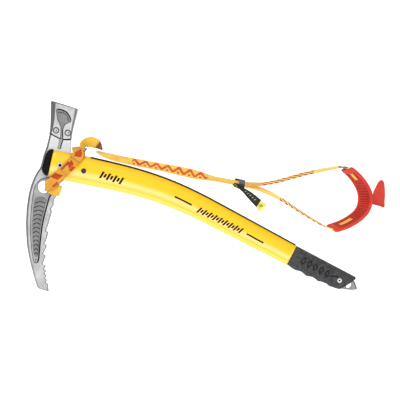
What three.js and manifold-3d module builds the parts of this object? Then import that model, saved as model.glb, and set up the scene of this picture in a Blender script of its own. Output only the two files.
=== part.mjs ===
// Mountaineering ice axe: hammer head with a toothed pick, bent oval tube shaft,
// rubber grip with a steel spike, and a webbing leash with a wrist cuff.
// Millimetres, +Z up. The axe lies in the XZ plane (Y = 0 is its mid-plane), head at -X
// and spike at +X, both tips near Z = 0, origin below the middle of the whole axe.
import * as THREE from 'three';
import { mergeVertices } from 'three/addons/utils/BufferGeometryUtils.js';
import Module from 'manifold-3d';

const wasm = await Module();
wasm.setup();

// --------------------------------------------------------- shared dimensions
const GAP = 0.3;           // clearance between separate pieces
const CUT_REACH = 20;      // half length of cutters that pass right through along Y
const WELD = 1e-4;         // vertices closer than this become one
const SIDES = [1, -1];     // the +Y and -Y faces

const TANG_HALF = 4.2;     // half thickness of the head's plate inside the tube
const PICK_HALF = 4.6;     // half thickness of the pick at its root
const SPIKE_HALF = 2.4;    // half thickness of the spike plate

const HEAD_RIVET_RADIUS = 3.0;
const FRONT_RIVET = [-206, 178.45];
const REAR_RIVET = [-172.57, 170.52];
const SPIKE_RIVET_RADIUS = 2.2;

// ------------------------------------------------------------------- helpers
const vec2 = ([x, y]) => new THREE.Vector2(x, y);
const vec3 = (x, y, z) => new THREE.Vector3(x, y, z);
const shapeOf = (points) => new THREE.Shape(points.map(vec2));
const lerp = (a, b, t) => a + (b - a) * t;
const { degToRad } = THREE.MathUtils;

function smooth(t) {
  const clamped = Math.min(1, Math.max(0, t));
  return clamped * clamped * (3 - 2 * clamped);
}

function superellipse(a, b, exponent, angle) {
  const bulge = (v) => Math.sign(v) * Math.abs(v) ** (2 / exponent);
  return [a * bulge(Math.cos(angle)), b * bulge(Math.sin(angle))];
}

function circle(radius, count, [cx, cy] = [0, 0]) {
  return Array.from({ length: count }, (_, i) => {
    const angle = (2 * Math.PI * i) / count;
    return [cx + radius * Math.cos(angle), cy + radius * Math.sin(angle)];
  });
}

const rectangle = (a, b) => [[-a, -b], [a, -b], [a, b], [-a, b]];

function weld(geometry) {
  geometry.deleteAttribute('normal');
  geometry.deleteAttribute('uv');
  return mergeVertices(geometry, WELD);
}

function signedVolume(geometry) {
  const { position } = geometry.attributes;
  const { index } = geometry;
  const [a, b, c] = [vec3(), vec3(), vec3()];
  let sum = 0;
  for (let i = 0; i < index.count; i += 3) {
    a.fromBufferAttribute(position, index.getX(i));
    b.fromBufferAttribute(position, index.getX(i + 1));
    c.fromBufferAttribute(position, index.getX(i + 2));
    sum += a.dot(b.cross(c));
  }
  return sum / 6;
}

// flips every triangle if the surface faces inwards
function outward(geometry) {
  if (signedVolume(geometry) < 0) {
    const { index } = geometry;
    for (let i = 0; i < index.count; i += 3) {
      const first = index.getX(i);
      index.setX(i, index.getX(i + 1));
      index.setX(i + 1, first);
    }
  }
  return geometry;
}

function solid(geometry) {
  const closed = outward(weld(geometry));
  return new wasm.Manifold(new wasm.Mesh({
    numProp: 3,
    vertProperties: new Float32Array(closed.attributes.position.array),
    triVerts: new Uint32Array(closed.index.array),
  }));
}

const cut = (body, ...cutters) => cutters.reduce((rest, c) => rest.subtract(solid(c)), body);

function geometryOf(body) {
  const mesh = body.getMesh();
  const geometry = new THREE.BufferGeometry();
  const positions = new Float32Array(mesh.vertProperties);
  geometry.setAttribute('position', new THREE.BufferAttribute(positions, 3));
  geometry.setIndex(new THREE.BufferAttribute(new Uint32Array(mesh.triVerts), 1));
  return geometry;
}

// moves every vertex to place(x, y, z)
function warp(geometry, place) {
  const welded = weld(geometry);
  const { position } = welded.attributes;
  for (let i = 0; i < position.count; i++) {
    position.setXYZ(i, ...place(position.getX(i), position.getY(i), position.getZ(i)));
  }
  return outward(welded);
}

// outline (u, v) carried over t = 0..1, each vertex put at place(u, v, t)
function prism(outline, place) {
  const options = { depth: 1, bevelEnabled: false };
  return warp(new THREE.ExtrudeGeometry(shapeOf(outline), options), place);
}

// outline given in (X, Z), thickened along Y to both sides of the mid-plane
const plate = (outline, half) => prism(outline, (x, z, t) => [x, lerp(-half, half, t), z]);

// closed section of `corners` points carried over stations 0..last;
// place(corner, station, onBore) gives each vertex
function loft(corners, last, place, hollow = false) {
  const shape = shapeOf(circle(2, corners));
  if (hollow) shape.holes.push(new THREE.Path(circle(1, corners).map(vec2)));
  const options = { depth: last, steps: last, bevelEnabled: false };
  return warp(new THREE.ExtrudeGeometry(shape, options), (x, y, z) => {
    const turn = Math.round((Math.atan2(y, x) / (2 * Math.PI)) * corners);
    const corner = ((turn % corners) + corners) % corners;
    return place(corner, Math.round(z), hollow && Math.hypot(x, y) < 1.5);
  });
}

// cutting rod along Y through (x, z)
function rod([x, z], radius, segments = 16) {
  const geometry = new THREE.CylinderGeometry(radius, radius, 2 * CUT_REACH, segments);
  geometry.translate(x, 0, z);
  return geometry;
}

// ---------------------------------------------------------------- shaft axis
// straight, one smooth bend, straight again; angles in degrees below +X
const AXIS_START = [-243.42, 186.98];
const AXIS_LENGTH = 520;
const AXIS_ANGLE = 12.135;
const AXIS_BEND = 15.666;
const BEND_FROM = 91.1;
const BEND_TO = 278.9;

// [x, z, angle] at every millimetre
function traceAxis() {
  const bendSpan = BEND_TO - BEND_FROM;
  const angleAt = (s) => degToRad(AXIS_ANGLE + AXIS_BEND * smooth((s - BEND_FROM) / bendSpan));
  const axis = [];
  let [x, z] = AXIS_START;
  for (let s = 0; s <= AXIS_LENGTH; s++) {
    axis.push([x, z, angleAt(s)]);
    const middle = (angleAt(s) + angleAt(s + 1)) / 2;
    x += Math.cos(middle);
    z -= Math.sin(middle);
  }
  return axis;
}
const AXIS = traceAxis();

// (x, z) on the mid-plane: s along the axis, d from it towards the upper edge
function onShaft(s, d) {
  const i = Math.min(AXIS.length - 2, Math.max(0, Math.floor(s)));
  const [x, z, angle] = AXIS[i].map((value, k) => lerp(value, AXIS[i + 1][k], s - i));
  return [x + d * Math.sin(angle), z + d * Math.cos(angle)];
}
const shaftOutline = (rows) => rows.map(([s, d]) => onShaft(s, d));

const SPIKE_RIVET = onShaft(467.6, -0.2);
const spikeRivetBore = () => rod(SPIKE_RIVET, SPIKE_RIVET_RADIUS + GAP);
const headRivetBores = () =>
  [FRONT_RIVET, REAR_RIVET].map((centre) => rod(centre, HEAD_RIVET_RADIUS + GAP));

// --------------------------------------------------------------- oval section
const HALF_DEPTH_START = 20.99;
const DEPTH_TAPER = 0.01385;     // half depth lost per millimetre of axis
const HALF_WIDTH_START = 11.0;
const HALF_WIDTH_LOW = 10.4;
const WIDTH_TAPER_LENGTH = 400;
const OVAL_EXPONENT = 2.35;
const SHOULDER = 390.5;          // where the tube steps down into the grip
const NECK_STEP = 2.9;           // half depth lost at the shoulder
const NECK_SIDE_RATIO = 0.75;    // share of that step taken off the half width
const NECK_LENGTH = 3;
const NECK_TAPER = 0.022;        // further half depth lost per millimetre

const halfWidthAt = (s) =>
  lerp(HALF_WIDTH_START, HALF_WIDTH_LOW, smooth(s / WIDTH_TAPER_LENGTH));

// the tube's outside, shrunk by inset; angle 0 is the upper edge
function tubePoint(s, angle, inset = 0) {
  const pastShoulder = Math.max(0, s - SHOULDER);
  const neck = NECK_STEP * smooth(pastShoulder / NECK_LENGTH);
  const halfDepth = HALF_DEPTH_START - DEPTH_TAPER * s - inset - neck - pastShoulder * NECK_TAPER;
  const halfWidth = halfWidthAt(s) - inset - neck * NECK_SIDE_RATIO;
  const [d, y] = superellipse(halfDepth, halfWidth, OVAL_EXPONENT, angle);
  const [x, z] = onShaft(s, d);
  return [x, y, z];
}

// solid following the tube's section, shrunk by inset, over the given stations
function ovalCore(corners, stations, inset) {
  return loft(corners, stations.length - 1,
    (i, k) => tubePoint(stations[k], (2 * Math.PI * i) / corners, inset));
}

// ---------------------------------------------------------------------- pick
// (x, z) down the plain -X edge, and the matching points down the toothed +X edge
const PICK_BACK = [
  [-220.16, 227.88], [-222.85, 216.41], [-225.83, 204.51], [-230.08, 192.48], [-232.62, 182.28],
  [-235.03, 174.77], [-239.14, 169.11], [-242.82, 162.02], [-247.07, 151.54], [-249.9, 141.49],
  [-251.32, 135.12], [-252.59, 125.91], [-253.16, 121.94], [-253.73, 117.27], [-254.01, 113.45],
  [-254.58, 102.54], [-254.72, 92.63], [-254.58, 86.54], [-254.44, 83.56], [-254.01, 74.92],
  [-253.59, 67.98], [-253.16, 65.01], [-252.31, 58.92], [-251.18, 53.54], [-250.61, 50.7],
  [-249.48, 44.76], [-248.06, 38.81], [-247.5, 36.54], [-246.22, 31.58], [-245.51, 29.03],
  [-244.52, 25.07], [-243.67, 22.09], [-242.68, 18.84], [-241.83, 15.86], [-240.98, 13.03],
  [-239.99, 10.2], [-238.86, 7.22], [-237.16, 4.25]];
const PICK_EDGE = [
  [-207.56, 225.76], [-209.68, 214.43], [-211.1, 201.68], [-212.51, 190.35], [-212.51, 181.14],
  [-212.51, 171.94], [-211.1, 164.86], [-208.97, 157.78], [-208.83, 147.86], [-210.25, 140.78],
  [-212.65, 133.98], [-215.49, 130.16], [-216.05, 121.94], [-219.88, 116.84], [-218.32, 113.3],
  [-221.29, 102.54], [-224.69, 91.21], [-226.68, 85.97], [-223.56, 83.42], [-225.54, 74.92],
  [-229.08, 67.56], [-225.54, 65.01], [-228.23, 58.63], [-230.92, 53.11], [-226.96, 50.7],
  [-229.37, 44.47], [-231.63, 38.38], [-226.82, 36.4], [-229.65, 31.58], [-226.68, 29.03],
  [-228.94, 24.93], [-225.83, 22.09], [-228.09, 18.7], [-225.26, 15.86], [-227.1, 12.89],
  [-223.84, 10.2], [-223.7, 5.52], [-222.71, 0]];
const PICK_LAST = PICK_BACK.length - 1;
const BLADE_FROM = 10;              // station where the blade starts to thin
const PICK_TIP_HALF = 2.9;
const PICK_BACK_BEVEL = 2.2;
const PICK_BACK_HALF_RATIO = 0.42;  // half thickness left on the -X edge
const ROOT_EDGE_BEVEL = 1.0;
const TOOTH_BEVEL = 1.3;
const TOOTH_EDGE_DROP = 0.8;        // half thickness lost at the tooth edge

const pickHalfAt = (k) =>
  lerp(PICK_HALF, PICK_TIP_HALF, smooth((k - BLADE_FROM) / (PICK_LAST - BLADE_FROM)));

// section between (x, z) points a and b, from [share of the way, y] on the +Y side
function mirroredSection(a, b, profile) {
  const lowerSide = [...profile].reverse().map(([t, y]) => [t, -y]);
  return [...profile, ...lowerSide].map(([t, y]) => [lerp(a[0], b[0], t), y, lerp(a[1], b[1], t)]);
}
const distance = (a, b) => vec2(a).distanceTo(vec2(b));

function pickSection(k) {
  const [back, edge] = [PICK_BACK[k], PICK_EDGE[k]];
  const width = distance(back, edge);
  const half = pickHalfAt(k);
  const atRoot = k < BLADE_FROM;
  return mirroredSection(back, edge, [
    [0, half * PICK_BACK_HALF_RATIO],
    [PICK_BACK_BEVEL / width, half],
    [1 - (atRoot ? ROOT_EDGE_BEVEL : TOOTH_BEVEL) / width, half],
    [1, atRoot ? half : half - TOOTH_EDGE_DROP]]);
}

function makePick() {
  const sections = PICK_BACK.map((_, k) => pickSection(k));
  return solid(loft(8, PICK_LAST, (i, k) => sections[k][i]));
}

// half thickness of the pick's face at height z, from the nearest station
function pickFace(z) {
  let nearest = Infinity;
  let half = PICK_HALF;
  for (let k = 0; k < PICK_LAST; k++) {
    const away = Math.abs((PICK_BACK[k][1] + PICK_EDGE[k][1]) / 2 - z);
    if (away < nearest) {
      nearest = away;
      half = pickHalfAt(k);
    }
  }
  return half;
}

// -------------------------------------------------------------------- hammer
// striking face down to the step: -X side point, +X side point, half thickness,
// -X bevel, +X bevel
const HAMMER_STATIONS = [
  [[-218.89, 269.81], [-181.5, 258.19], 12.6, 5.4, 3.2],
  [[-219.17, 258.33], [-182.77, 252.67], 12.0, 5.0, 2.8],
  [[-219.31, 245.59], [-184.61, 245.59], 11.0, 4.6, 2.3],
  [[-220.02, 234.26], [-187.59, 233.55], 9.6, 4.0, 1.9],
  [[-220.73, 226.61], [-189.57, 223.63], 8.0, 3.4, 1.6],
  [[-221.72, 222.93], [-190.99, 213.58], 6.9, 3.0, 1.4]];
const LEFT_BEVEL_RATIO = 0.95;    // depth of the -X bevel over its width
const HAMMER_FACE_TOP = 264;      // z span over which the flat face flares
const HAMMER_FACE_BOTTOM = 218.25;
// removed below the step line
const STEP_CUT = [
  [-229.51, 226.32], [-220.73, 222.64], [-208.26, 215.99], [-203.87, 213.86], [-184.19, 213.93],
  [-184.19, 205.93], [-229.51, 205.93]];

function hammerSection([left, right, half, leftBevel, rightBevel]) {
  const width = distance(left, right);
  return mirroredSection(left, right, [
    [0, half - leftBevel * LEFT_BEVEL_RATIO],
    [leftBevel / width, half],
    [1 - rightBevel / width, half],
    [1, half - rightBevel]]);
}

function makeHammer() {
  const sections = HAMMER_STATIONS.map(hammerSection);
  const block = solid(loft(8, sections.length - 1, (i, k) => sections[k][i]));
  return cut(block, plate(STEP_CUT, CUT_REACH));
}

// half thickness of the hammer's flared face at height z
function hammerFace(z) {
  const t = (z - HAMMER_FACE_BOTTOM) / (HAMMER_FACE_TOP - HAMMER_FACE_BOTTOM);
  return lerp(HAMMER_STATIONS.at(-1)[2], HAMMER_STATIONS[0][2], t);
}

// ---------------------------------------------------------------------- head
// outlines in (x, z)
const TANG = [
  [-209.4, 217.97], [-191.41, 217.97], [-191.69, 200.26], [-191.41, 190.92], [-178.52, 188.08],
  [-162.94, 183.84], [-160.68, 181], [-163.79, 159.48], [-166.34, 157.78], [-181.35, 160.89],
  [-199.2, 165.14], [-203.17, 160.61], [-206.56, 154.94], [-208.41, 148.57], [-209.82, 143.61],
  [-212.23, 142.2], [-211.8, 153.53], [-214.64, 163.44], [-216.48, 174.77], [-215.35, 188.93],
  [-213.93, 201.68]];
const FAN_RECESS = [
  [-210.81, 257.34], [-206.28, 258.19], [-201.04, 256.63], [-196.93, 254.65], [-193.82, 251.53],
  [-191.69, 247.85], [-190.28, 243.6], [-190.84, 239.5], [-195.09, 237.51], [-198.63, 235.39],
  [-200.76, 231.99], [-201.89, 227.17], [-202.32, 213.58], [-205.29, 202.81], [-208.41, 203.1],
  [-206, 214.99], [-205.43, 227.17], [-205.57, 232.41], [-206.85, 236.24], [-209.68, 242.61],
  [-210.81, 249.84]];
const LONG_RECESS = [
  [-241.97, 144.18], [-239.99, 139.36], [-236.31, 135.96], [-231.77, 134.69], [-226.68, 134.83],
  [-220.44, 136.53], [-221.01, 132.85], [-225.4, 121.94], [-230.08, 103.96], [-232.77, 89.79],
  [-234.32, 72.8], [-235.6, 57.22], [-236.02, 46.17], [-237.44, 42.21], [-240.84, 40.79],
  [-243.81, 42.49], [-245.65, 50.14], [-247.64, 62.88], [-248.06, 81.3], [-247.64, 98.29],
  [-246.22, 119.54], [-244.66, 134.41]];
const FAN_DEPTH = 1.1;
const LONG_DEPTH = 0.8;
const HAMMER_STEP_Z = 215.28;    // the hammer's flared face starts above this
// annular recesses in the hammer: [centre, outer radius]
const ROUND_RECESSES = [[[-211.66, 228.31], 4.2], [[-195.09, 224.06], 4.1]];
const ROUND_DEPTH = 0.5;
const ANNULUS_WIDTH = 1.1;
const BOSS_ROOT = 1.5;           // how far below the face the central boss starts
const BOSS_HEIGHT = 1.3;
const RECESS_MARGIN = 3;         // how far recess cutters stand clear of the face
const HANGING_HOLE = [-229.51, 148];
const HANGING_HOLE_RADIUS = 8.9;

// the same prism on both Y sides, from `depth` below the face, `height` thick
function facePrisms(outline, face, depth, height) {
  return SIDES.map((side) =>
    prism(outline, (x, z, t) => [x, side * (face(z) - depth + t * height), z]));
}
const recess = (outline, depth, face) =>
  facePrisms(outline, face, depth, depth + RECESS_MARGIN);

function makeHead() {
  const fanFace = (z) => (z > HAMMER_STEP_Z ? hammerFace(z) : PICK_HALF);
  let head = makePick().add(solid(plate(TANG, TANG_HALF))).add(makeHammer());
  head = cut(head, ...recess(FAN_RECESS, FAN_DEPTH, fanFace));
  for (const [centre, radius] of ROUND_RECESSES) {
    head = cut(head, ...recess(circle(radius, 16, centre), ROUND_DEPTH, hammerFace));
    const bossOutline = circle(radius - ANNULUS_WIDTH, 12, centre);
    for (const boss of facePrisms(bossOutline, hammerFace, BOSS_ROOT, BOSS_HEIGHT)) {
      head = head.add(solid(boss));
    }
  }
  head = cut(head, ...recess(LONG_RECESS, LONG_DEPTH, pickFace));
  return cut(head, rod(HANGING_HOLE, HANGING_HOLE_RADIUS, 28), ...headRivetBores());
}

// ---------------------------------------------------------------- shaft tube
const TUBE_START = 25.0;
const TUBE_END = 472.0;
const TUBE_WALL = 1.7;
const TUBE_CORNERS = 24;
const NECK_STATIONS = [SHOULDER, 391.3, 392.2, 393.6];
const TUBE_STATIONS = [
  TUBE_START, 91, 115, 135, 155, 175, 195, 215, 235, 255, 279, ...NECK_STATIONS, TUBE_END];
// slot at the upper end for the head, (x, z)
const MOUTH = [
  [-240.84, 214.43], [-190.7, 214.43], [-191.13, 189.64], [-199.91, 165.99], [-200.62, 157.07],
  [-201.75, 146.45], [-240.84, 146.45]];

function makeTube() {
  const pointAt = (i, k, bore) =>
    tubePoint(TUBE_STATIONS[k], (2 * Math.PI * i) / TUBE_CORNERS, bore ? TUBE_WALL : 0);
  const tube = solid(loft(TUBE_CORNERS, TUBE_STATIONS.length - 1, pointAt, true));
  return cut(tube, plate(MOUTH, PICK_HALF + GAP), ...headRivetBores(), spikeRivetBore());
}

// --------------------------------------------------------------- nose cheeks
const NOSE = [
  [-215.49, 200.83], [-218.46, 201.68], [-221.86, 200.69], [-224.41, 198], [-226.96, 193.32],
  [-229.23, 186.1], [-231.07, 178.74], [-232.34, 172.79], [-230.64, 168.26], [-227.81, 164.57],
  [-224.41, 163.72], [-222.36, 169.11], [-220.52, 177.6], [-218.18, 188.37], [-216.41, 196.58]];
// [distance from the mid-plane, inset of the outline]; rounds the outer face
const NOSE_LAYERS = [[PICK_HALF + GAP, 0], [8.2, 0.25], [9.8, 1.1], [10.8, 2.6]];

function makeNoseCheek(side) {
  const mean = (axis) => NOSE.reduce((sum, point) => sum + point[axis] / NOSE.length, 0);
  const [cx, cz] = [mean(0), mean(1)];
  return loft(NOSE.length, NOSE_LAYERS.length - 1, (i, k) => {
    const [y, inset] = NOSE_LAYERS[k];
    const [dx, dz] = [NOSE[i][0] - cx, NOSE[i][1] - cz];
    const scale = 1 - inset / Math.hypot(dx, dz);
    return [cx + dx * scale, side * y, cz + dz * scale];
  });
}

// -------------------------------------------------------------------- rivets
const FLANGE_THICKNESS = 1.05;
const HEAD_RIVET_END = 12.1;     // half length along Y
const SPIKE_RIVET_END = 11.7;

// turned about Y, flanged at both ends; a bore of 0 gives closed, domed ends
function makeRivet(centre, { radius, flange, end, bore }) {
  const rim = bore
    ? [[flange, end - 0.55], [flange - 0.5, end], [bore, end]]
    : [[flange, end - 0.6], [flange * 0.6, end - 0.12], [0, end]];
  const upper = [[radius, end - FLANGE_THICKNESS], [flange, end - FLANGE_THICKNESS], ...rim];
  const profile = [...[...upper].reverse().map(([r, y]) => [r, -y]), ...upper];
  if (bore) profile.push(profile[0]);
  const geometry = new THREE.LatheGeometry(profile.map(vec2), 16);
  geometry.translate(centre[0], 0, centre[1]);
  return outward(weld(geometry));
}

// --------------------------------------------------------------- spine strip
const STRIP_STATIONS = [78, 112, 128, 144, 160, 176, 192, 208, 224, 240, 258, 279, 330, 389.5];
const STRIP_HALF_ANGLE = 0.46;   // radians to each side of the upper edge
const STRIP_SPANS = 4;
const STRIP_OUTSIDE = 0.75;      // heights above the tube
const STRIP_UNDERSIDE = 0.15;

// thin band bent over the tube's upper edge
function makeSpineStrip() {
  const corners = 2 * (STRIP_SPANS + 1);
  return loft(corners, STRIP_STATIONS.length - 1, (i, k) => {
    const outside = i <= STRIP_SPANS;
    const step = outside ? i : corners - 1 - i;
    const angle = lerp(-STRIP_HALF_ANGLE, STRIP_HALF_ANGLE, step / STRIP_SPANS);
    return tubePoint(STRIP_STATIONS[k], angle, outside ? -STRIP_OUTSIDE : -STRIP_UNDERSIDE);
  });
}

// --------------------------------------------------------------------- grip
const GRIP_CORNERS = 20;
const GRIP_TOP = 14.95;          // height of the upper edge above the axis
const GRIP_HALF_WIDTH = halfWidthAt(392) + 0.1;
const GRIP_EXPONENT = 2.5;
// [s, depth of the lower edge below the axis]
const GRIP_LOWER = [
  [391.5, 14.7], [397, 15.4], [402, 16.2], [406.6, 16.4], [411, 15.0], [415, 14.6], [419, 15.2],
  [423, 16.4], [427, 15.4], [431, 14.1], [435, 13.7], [438.5, 14.5], [441.5, 15.3], [446, 13.9],
  [450, 13.2], [454.5, 12.9], [459, 14.0], [463, 13.3], [468, 12.6], [474, 11.2], [480, 10.3],
  [490, 10.0]];
const GRIP_BORE_STATIONS = [388, ...NECK_STATIONS, 420, 446, TUBE_END + GAP];
// removed at the slanted lower end, (x, z)
const GRIP_END_CUT = [
  [203.6, 28.04], [206.57, 24.5], [209.4, 22.66], [211.24, 20.82], [211.67, 18.98],
  [210.68, 17.28], [197.22, 8.36], [186.32, 1.7], [196.8, -12.18], [235.04, -0.85],
  [235.04, 33.14], [212.38, 41.64]];
// room for the spike plate through the closed end, (s, d)
const GRIP_SLOT = [[468, 6.6], [520, 6.6], [520, -13.2], [470.4, -13.2]];

function makeGrip() {
  const outside = loft(GRIP_CORNERS, GRIP_LOWER.length - 1, (i, k) => {
    const [s, lower] = GRIP_LOWER[k];
    const angle = (2 * Math.PI * i) / GRIP_CORNERS;
    const [d, y] = superellipse(1, GRIP_HALF_WIDTH, GRIP_EXPONENT, angle);
    const [x, z] = onShaft(s, d * (d > 0 ? GRIP_TOP : lower));
    return [x, y, z];
  });
  return cut(solid(outside),
    ovalCore(GRIP_CORNERS, GRIP_BORE_STATIONS, -GAP),
    plate(GRIP_END_CUT, CUT_REACH),
    spikeRivetBore(),
    plate(shaftOutline(GRIP_SLOT), SPIKE_HALF + GAP));
}

// ----------------------------------------------------------- spike and sleeve
// outlines in (s, d)
const SPIKE = [
  [446, 6.2], [484.5, 6.2], [486.6, 9.0], [488.4, 8.2], [495.9, 1.0], [495.6, 0.0],
  [490.4, -3.7], [481.6, -7.3], [474.6, -9.6], [473.2, -9.2], [472.8, -7.2], [446, -7.2]];
const SPIKE_EYE = [
  [480.7, -3.9], [480.2, -2.4], [481.4, 0.4], [483.6, 3.6], [485.3, 3.7], [486.2, 1.4],
  [486.0, -1.4], [484.4, -3.7], [482.6, -4.6]];
const SLEEVE_SLOT = [[445.5, 6.6], [480, 6.6], [480, -7.6], [445.5, -7.6]];
const SLEEVE_STATIONS = [440, 448, 458, TUBE_END - GAP];
// bevel on the upper +X edge: its start in (s, d), and [axial, upward] directions
const BEVEL_START = [487.1, 6.83];
const BEVEL_AXIS_STATION = 490;
const BEVEL_ALONG = [0.721, -0.692];
const BEVEL_OUT = [0.692, 0.721];
const BEVEL_CUTTER = [[-14, 0], [-14, 12], [18, 12], [18, 0]];   // (along, out)
const BEVEL_SLOPE = 0.7;         // half thickness lost per millimetre outwards
const BEVEL_CUTTER_THICKNESS = 9;

function spikeBevels() {
  const angle = AXIS[BEVEL_AXIS_STATION][2];
  const [cos, sin] = [Math.cos(angle), Math.sin(angle)];
  const toXZ = ([axial, up]) => [axial * cos + up * sin, -axial * sin + up * cos];
  const [startX, startZ] = onShaft(...BEVEL_START);
  const along = toXZ(BEVEL_ALONG);
  const out = toXZ(BEVEL_OUT);
  const outline = BEVEL_CUTTER.map(([u, v]) =>
    [startX + along[0] * u + out[0] * v, startZ + along[1] * u + out[1] * v]);
  return SIDES.map((side) => prism(outline, (x, z, t) => {
    const outwards = (x - startX) * out[0] + (z - startZ) * out[1];
    return [x, side * (SPIKE_HALF - outwards * BEVEL_SLOPE + t * BEVEL_CUTTER_THICKNESS), z];
  }));
}

function makeSpike() {
  return cut(solid(plate(shaftOutline(SPIKE), SPIKE_HALF)),
    plate(shaftOutline(SPIKE_EYE), CUT_REACH), spikeRivetBore(), ...spikeBevels());
}

// filler between the spike plate and the inside of the tube
function makeSleeve() {
  return cut(solid(ovalCore(GRIP_CORNERS, SLEEVE_STATIONS, TUBE_WALL + GAP)),
    plate(shaftOutline(SLEEVE_SLOT), SPIKE_HALF + GAP), spikeRivetBore());
}

// ------------------------------------------------------------ webbing helpers
const WEB_WIDTH = 15.2;
const WEB_THICKNESS = 1.6;

// rows of [centre, width direction, width scale]
const controlsOf = (rows) => rows.map(([centre, width, scale = 1]) =>
  ({ centre: vec3(...centre), width: vec3(...width), scale }));

// rows mirrored to the other Y side, in reverse order
const returning = (rows) => [...rows].reverse().map(([[x, y, z], [wx, wy, wz], scale]) =>
  [[x, -y, z], [wx, -wy, wz], scale]);

// width direction for a run in the XZ plane: 0 degrees lies in that plane, square
// to the run; 90 degrees is along +Y
function tiltedWidth(tangent, degrees) {
  const angle = degToRad(degrees);
  return vec3(-tangent.z, 0, tangent.x).multiplyScalar(Math.cos(angle))
    .add(vec3(0, Math.sin(angle), 0));
}

// controls from rows of [x, z, tilt in degrees] on the mid-plane
function strapControls(rows) {
  const centres = rows.map(([x, z]) => vec3(x, 0, z));
  return rows.map(([, , degrees], k) => ({
    centre: centres[k],
    width: tiltedWidth(chord(centres, k), degrees),
    scale: 1,
  }));
}

// unit direction from the point before k to the point after it
function chord(points, k) {
  const next = points[Math.min(points.length - 1, k + 1)];
  return next.clone().sub(points[Math.max(0, k - 1)]).normalize();
}

// control interval and position in it at share t of the list
function locate(count, t) {
  const position = t * (count - 1);
  const i = Math.min(count - 2, Math.floor(position));
  return [i, position - i];
}

const curveThrough = (controls) =>
  new THREE.CatmullRomCurve3(controls.map((c) => c.centre), false, 'centripetal');

function resample(controls, steps) {
  const curve = curveThrough(controls);
  return Array.from({ length: steps + 1 }, (_, k) => {
    const [i, u] = locate(controls.length, k / steps);
    const [from, to] = [controls[i], controls[i + 1]];
    return {
      centre: curve.getPoint(k / steps),
      width: from.width.clone().lerp(to.width, u),
      scale: lerp(from.scale, to.scale, u),
    };
  });
}

// flat band with chamfered corners, swept through the controls
function band(controls, steps, width = WEB_WIDTH, thickness = WEB_THICKNESS) {
  const stations = resample(controls, steps);
  const [w, t] = [width / 2, thickness / 2];
  const chamfer = Math.min(0.45, t * 0.7);
  const section = [
    [-w, -t + chamfer], [-w + chamfer, -t], [w - chamfer, -t], [w, -t + chamfer],
    [w, t - chamfer], [w - chamfer, t], [-w + chamfer, t], [-w, t - chamfer]];
  const centres = stations.map((station) => station.centre);
  const frames = stations.map((station, k) => {
    const tangent = chord(centres, k);
    const across = station.width.clone().normalize();
    across.addScaledVector(tangent, -across.dot(tangent)).normalize();
    return { across, normal: tangent.cross(across).normalize() };
  });
  return loft(8, steps, (i, k) => centres[k].clone()
    .addScaledVector(frames[k].across, section[i][0] * stations[k].scale)
    .addScaledVector(frames[k].normal, section[i][1])
    .toArray());
}
const strap = (rows, steps) => band(strapControls(rows), steps);

// --------------------------------------------------------------------- hitch
// near (-Y) leg of the sling, then its crossing of the shaft's upper edge
const SLING_LEG = [
  [[-226.68, -1, 148.43], [0.02, 0, -1], 0.86], [[-226.75, -5.6, 148.57], [0.03, 0, -1], 0.86],
  [[-224.83, -9, 149.42], [0.1, 0, -1], 0.95], [[-219.74, -11.1, 152.25], [0.32, 0, -0.95], 0.97],
  [[-213.36, -12.4, 157.78], [0.6, 0, -0.8], 0.96], [[-206, -13.2, 164.29], [0.76, 0, -0.65]],
  [[-195.09, -13.4, 174.63], [0.74, 0, -0.67]], [[-185.32, -13.3, 185.25], [0.8, 0, -0.6]],
  [[-180.22, -12.6, 194.03], [0.97, 0, -0.22], 1.08],
  [[-181.64, -9.2, 201.11], [1, 0, -0.05], 0.96]];
const SLING_TOP = [[-182.91, 0, 203.95], [1, 0, 0.05], 0.92];
const makeSling = () => band(controlsOf([...SLING_LEG, SLING_TOP, ...returning(SLING_LEG)]), 40);

// +Y half of the wrap through the hanging hole and round the steel on its +X side
const WRAP_HALF = [
  [[-224.27, 0.9, 147.86], [0.02, 0, -1], 0.72], [[-224.2, 4.7, 147.86], [0.02, 0, -1], 0.70],
  [[-221.86, 6.75, 146.73], [-0.02, 0, -1], 0.92],
  [[-215.35, 6.7, 144.18], [-0.16, 0, -1], 1.06],
  [[-208.83, 6.4, 142.9], [-0.3, 0, -1], 1.04], [[-205.71, 3.6, 143.05], [-0.36, 0, -0.93]]];
const WRAP_MIDDLE = [[-205.15, 0, 143.19], [-0.38, 0, -0.92]];
const makeWrap = () => band(controlsOf([...WRAP_HALF, WRAP_MIDDLE, ...returning(WRAP_HALF)]), 26);

// loop standing up from the hitch
const BIGHT = [
  [[-168.32, 0, 199.7], [0, -0.95, -0.3]], [[-171.58, 0, 204.23], [0, -0.88, -0.45]],
  [[-170.59, 0, 210.18], [-0.05, -0.66, -0.72]], [[-164.36, 0, 212.73], [0, -0.6, -0.8]],
  [[-157.28, 0, 210.75], [0.12, -0.66, -0.72]], [[-151.33, 0, 205.93], [0.2, -0.8, -0.5], 0.95],
  [[-147.93, 0, 201.68], [0.2, -0.92, -0.3], 0.9]];

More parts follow.
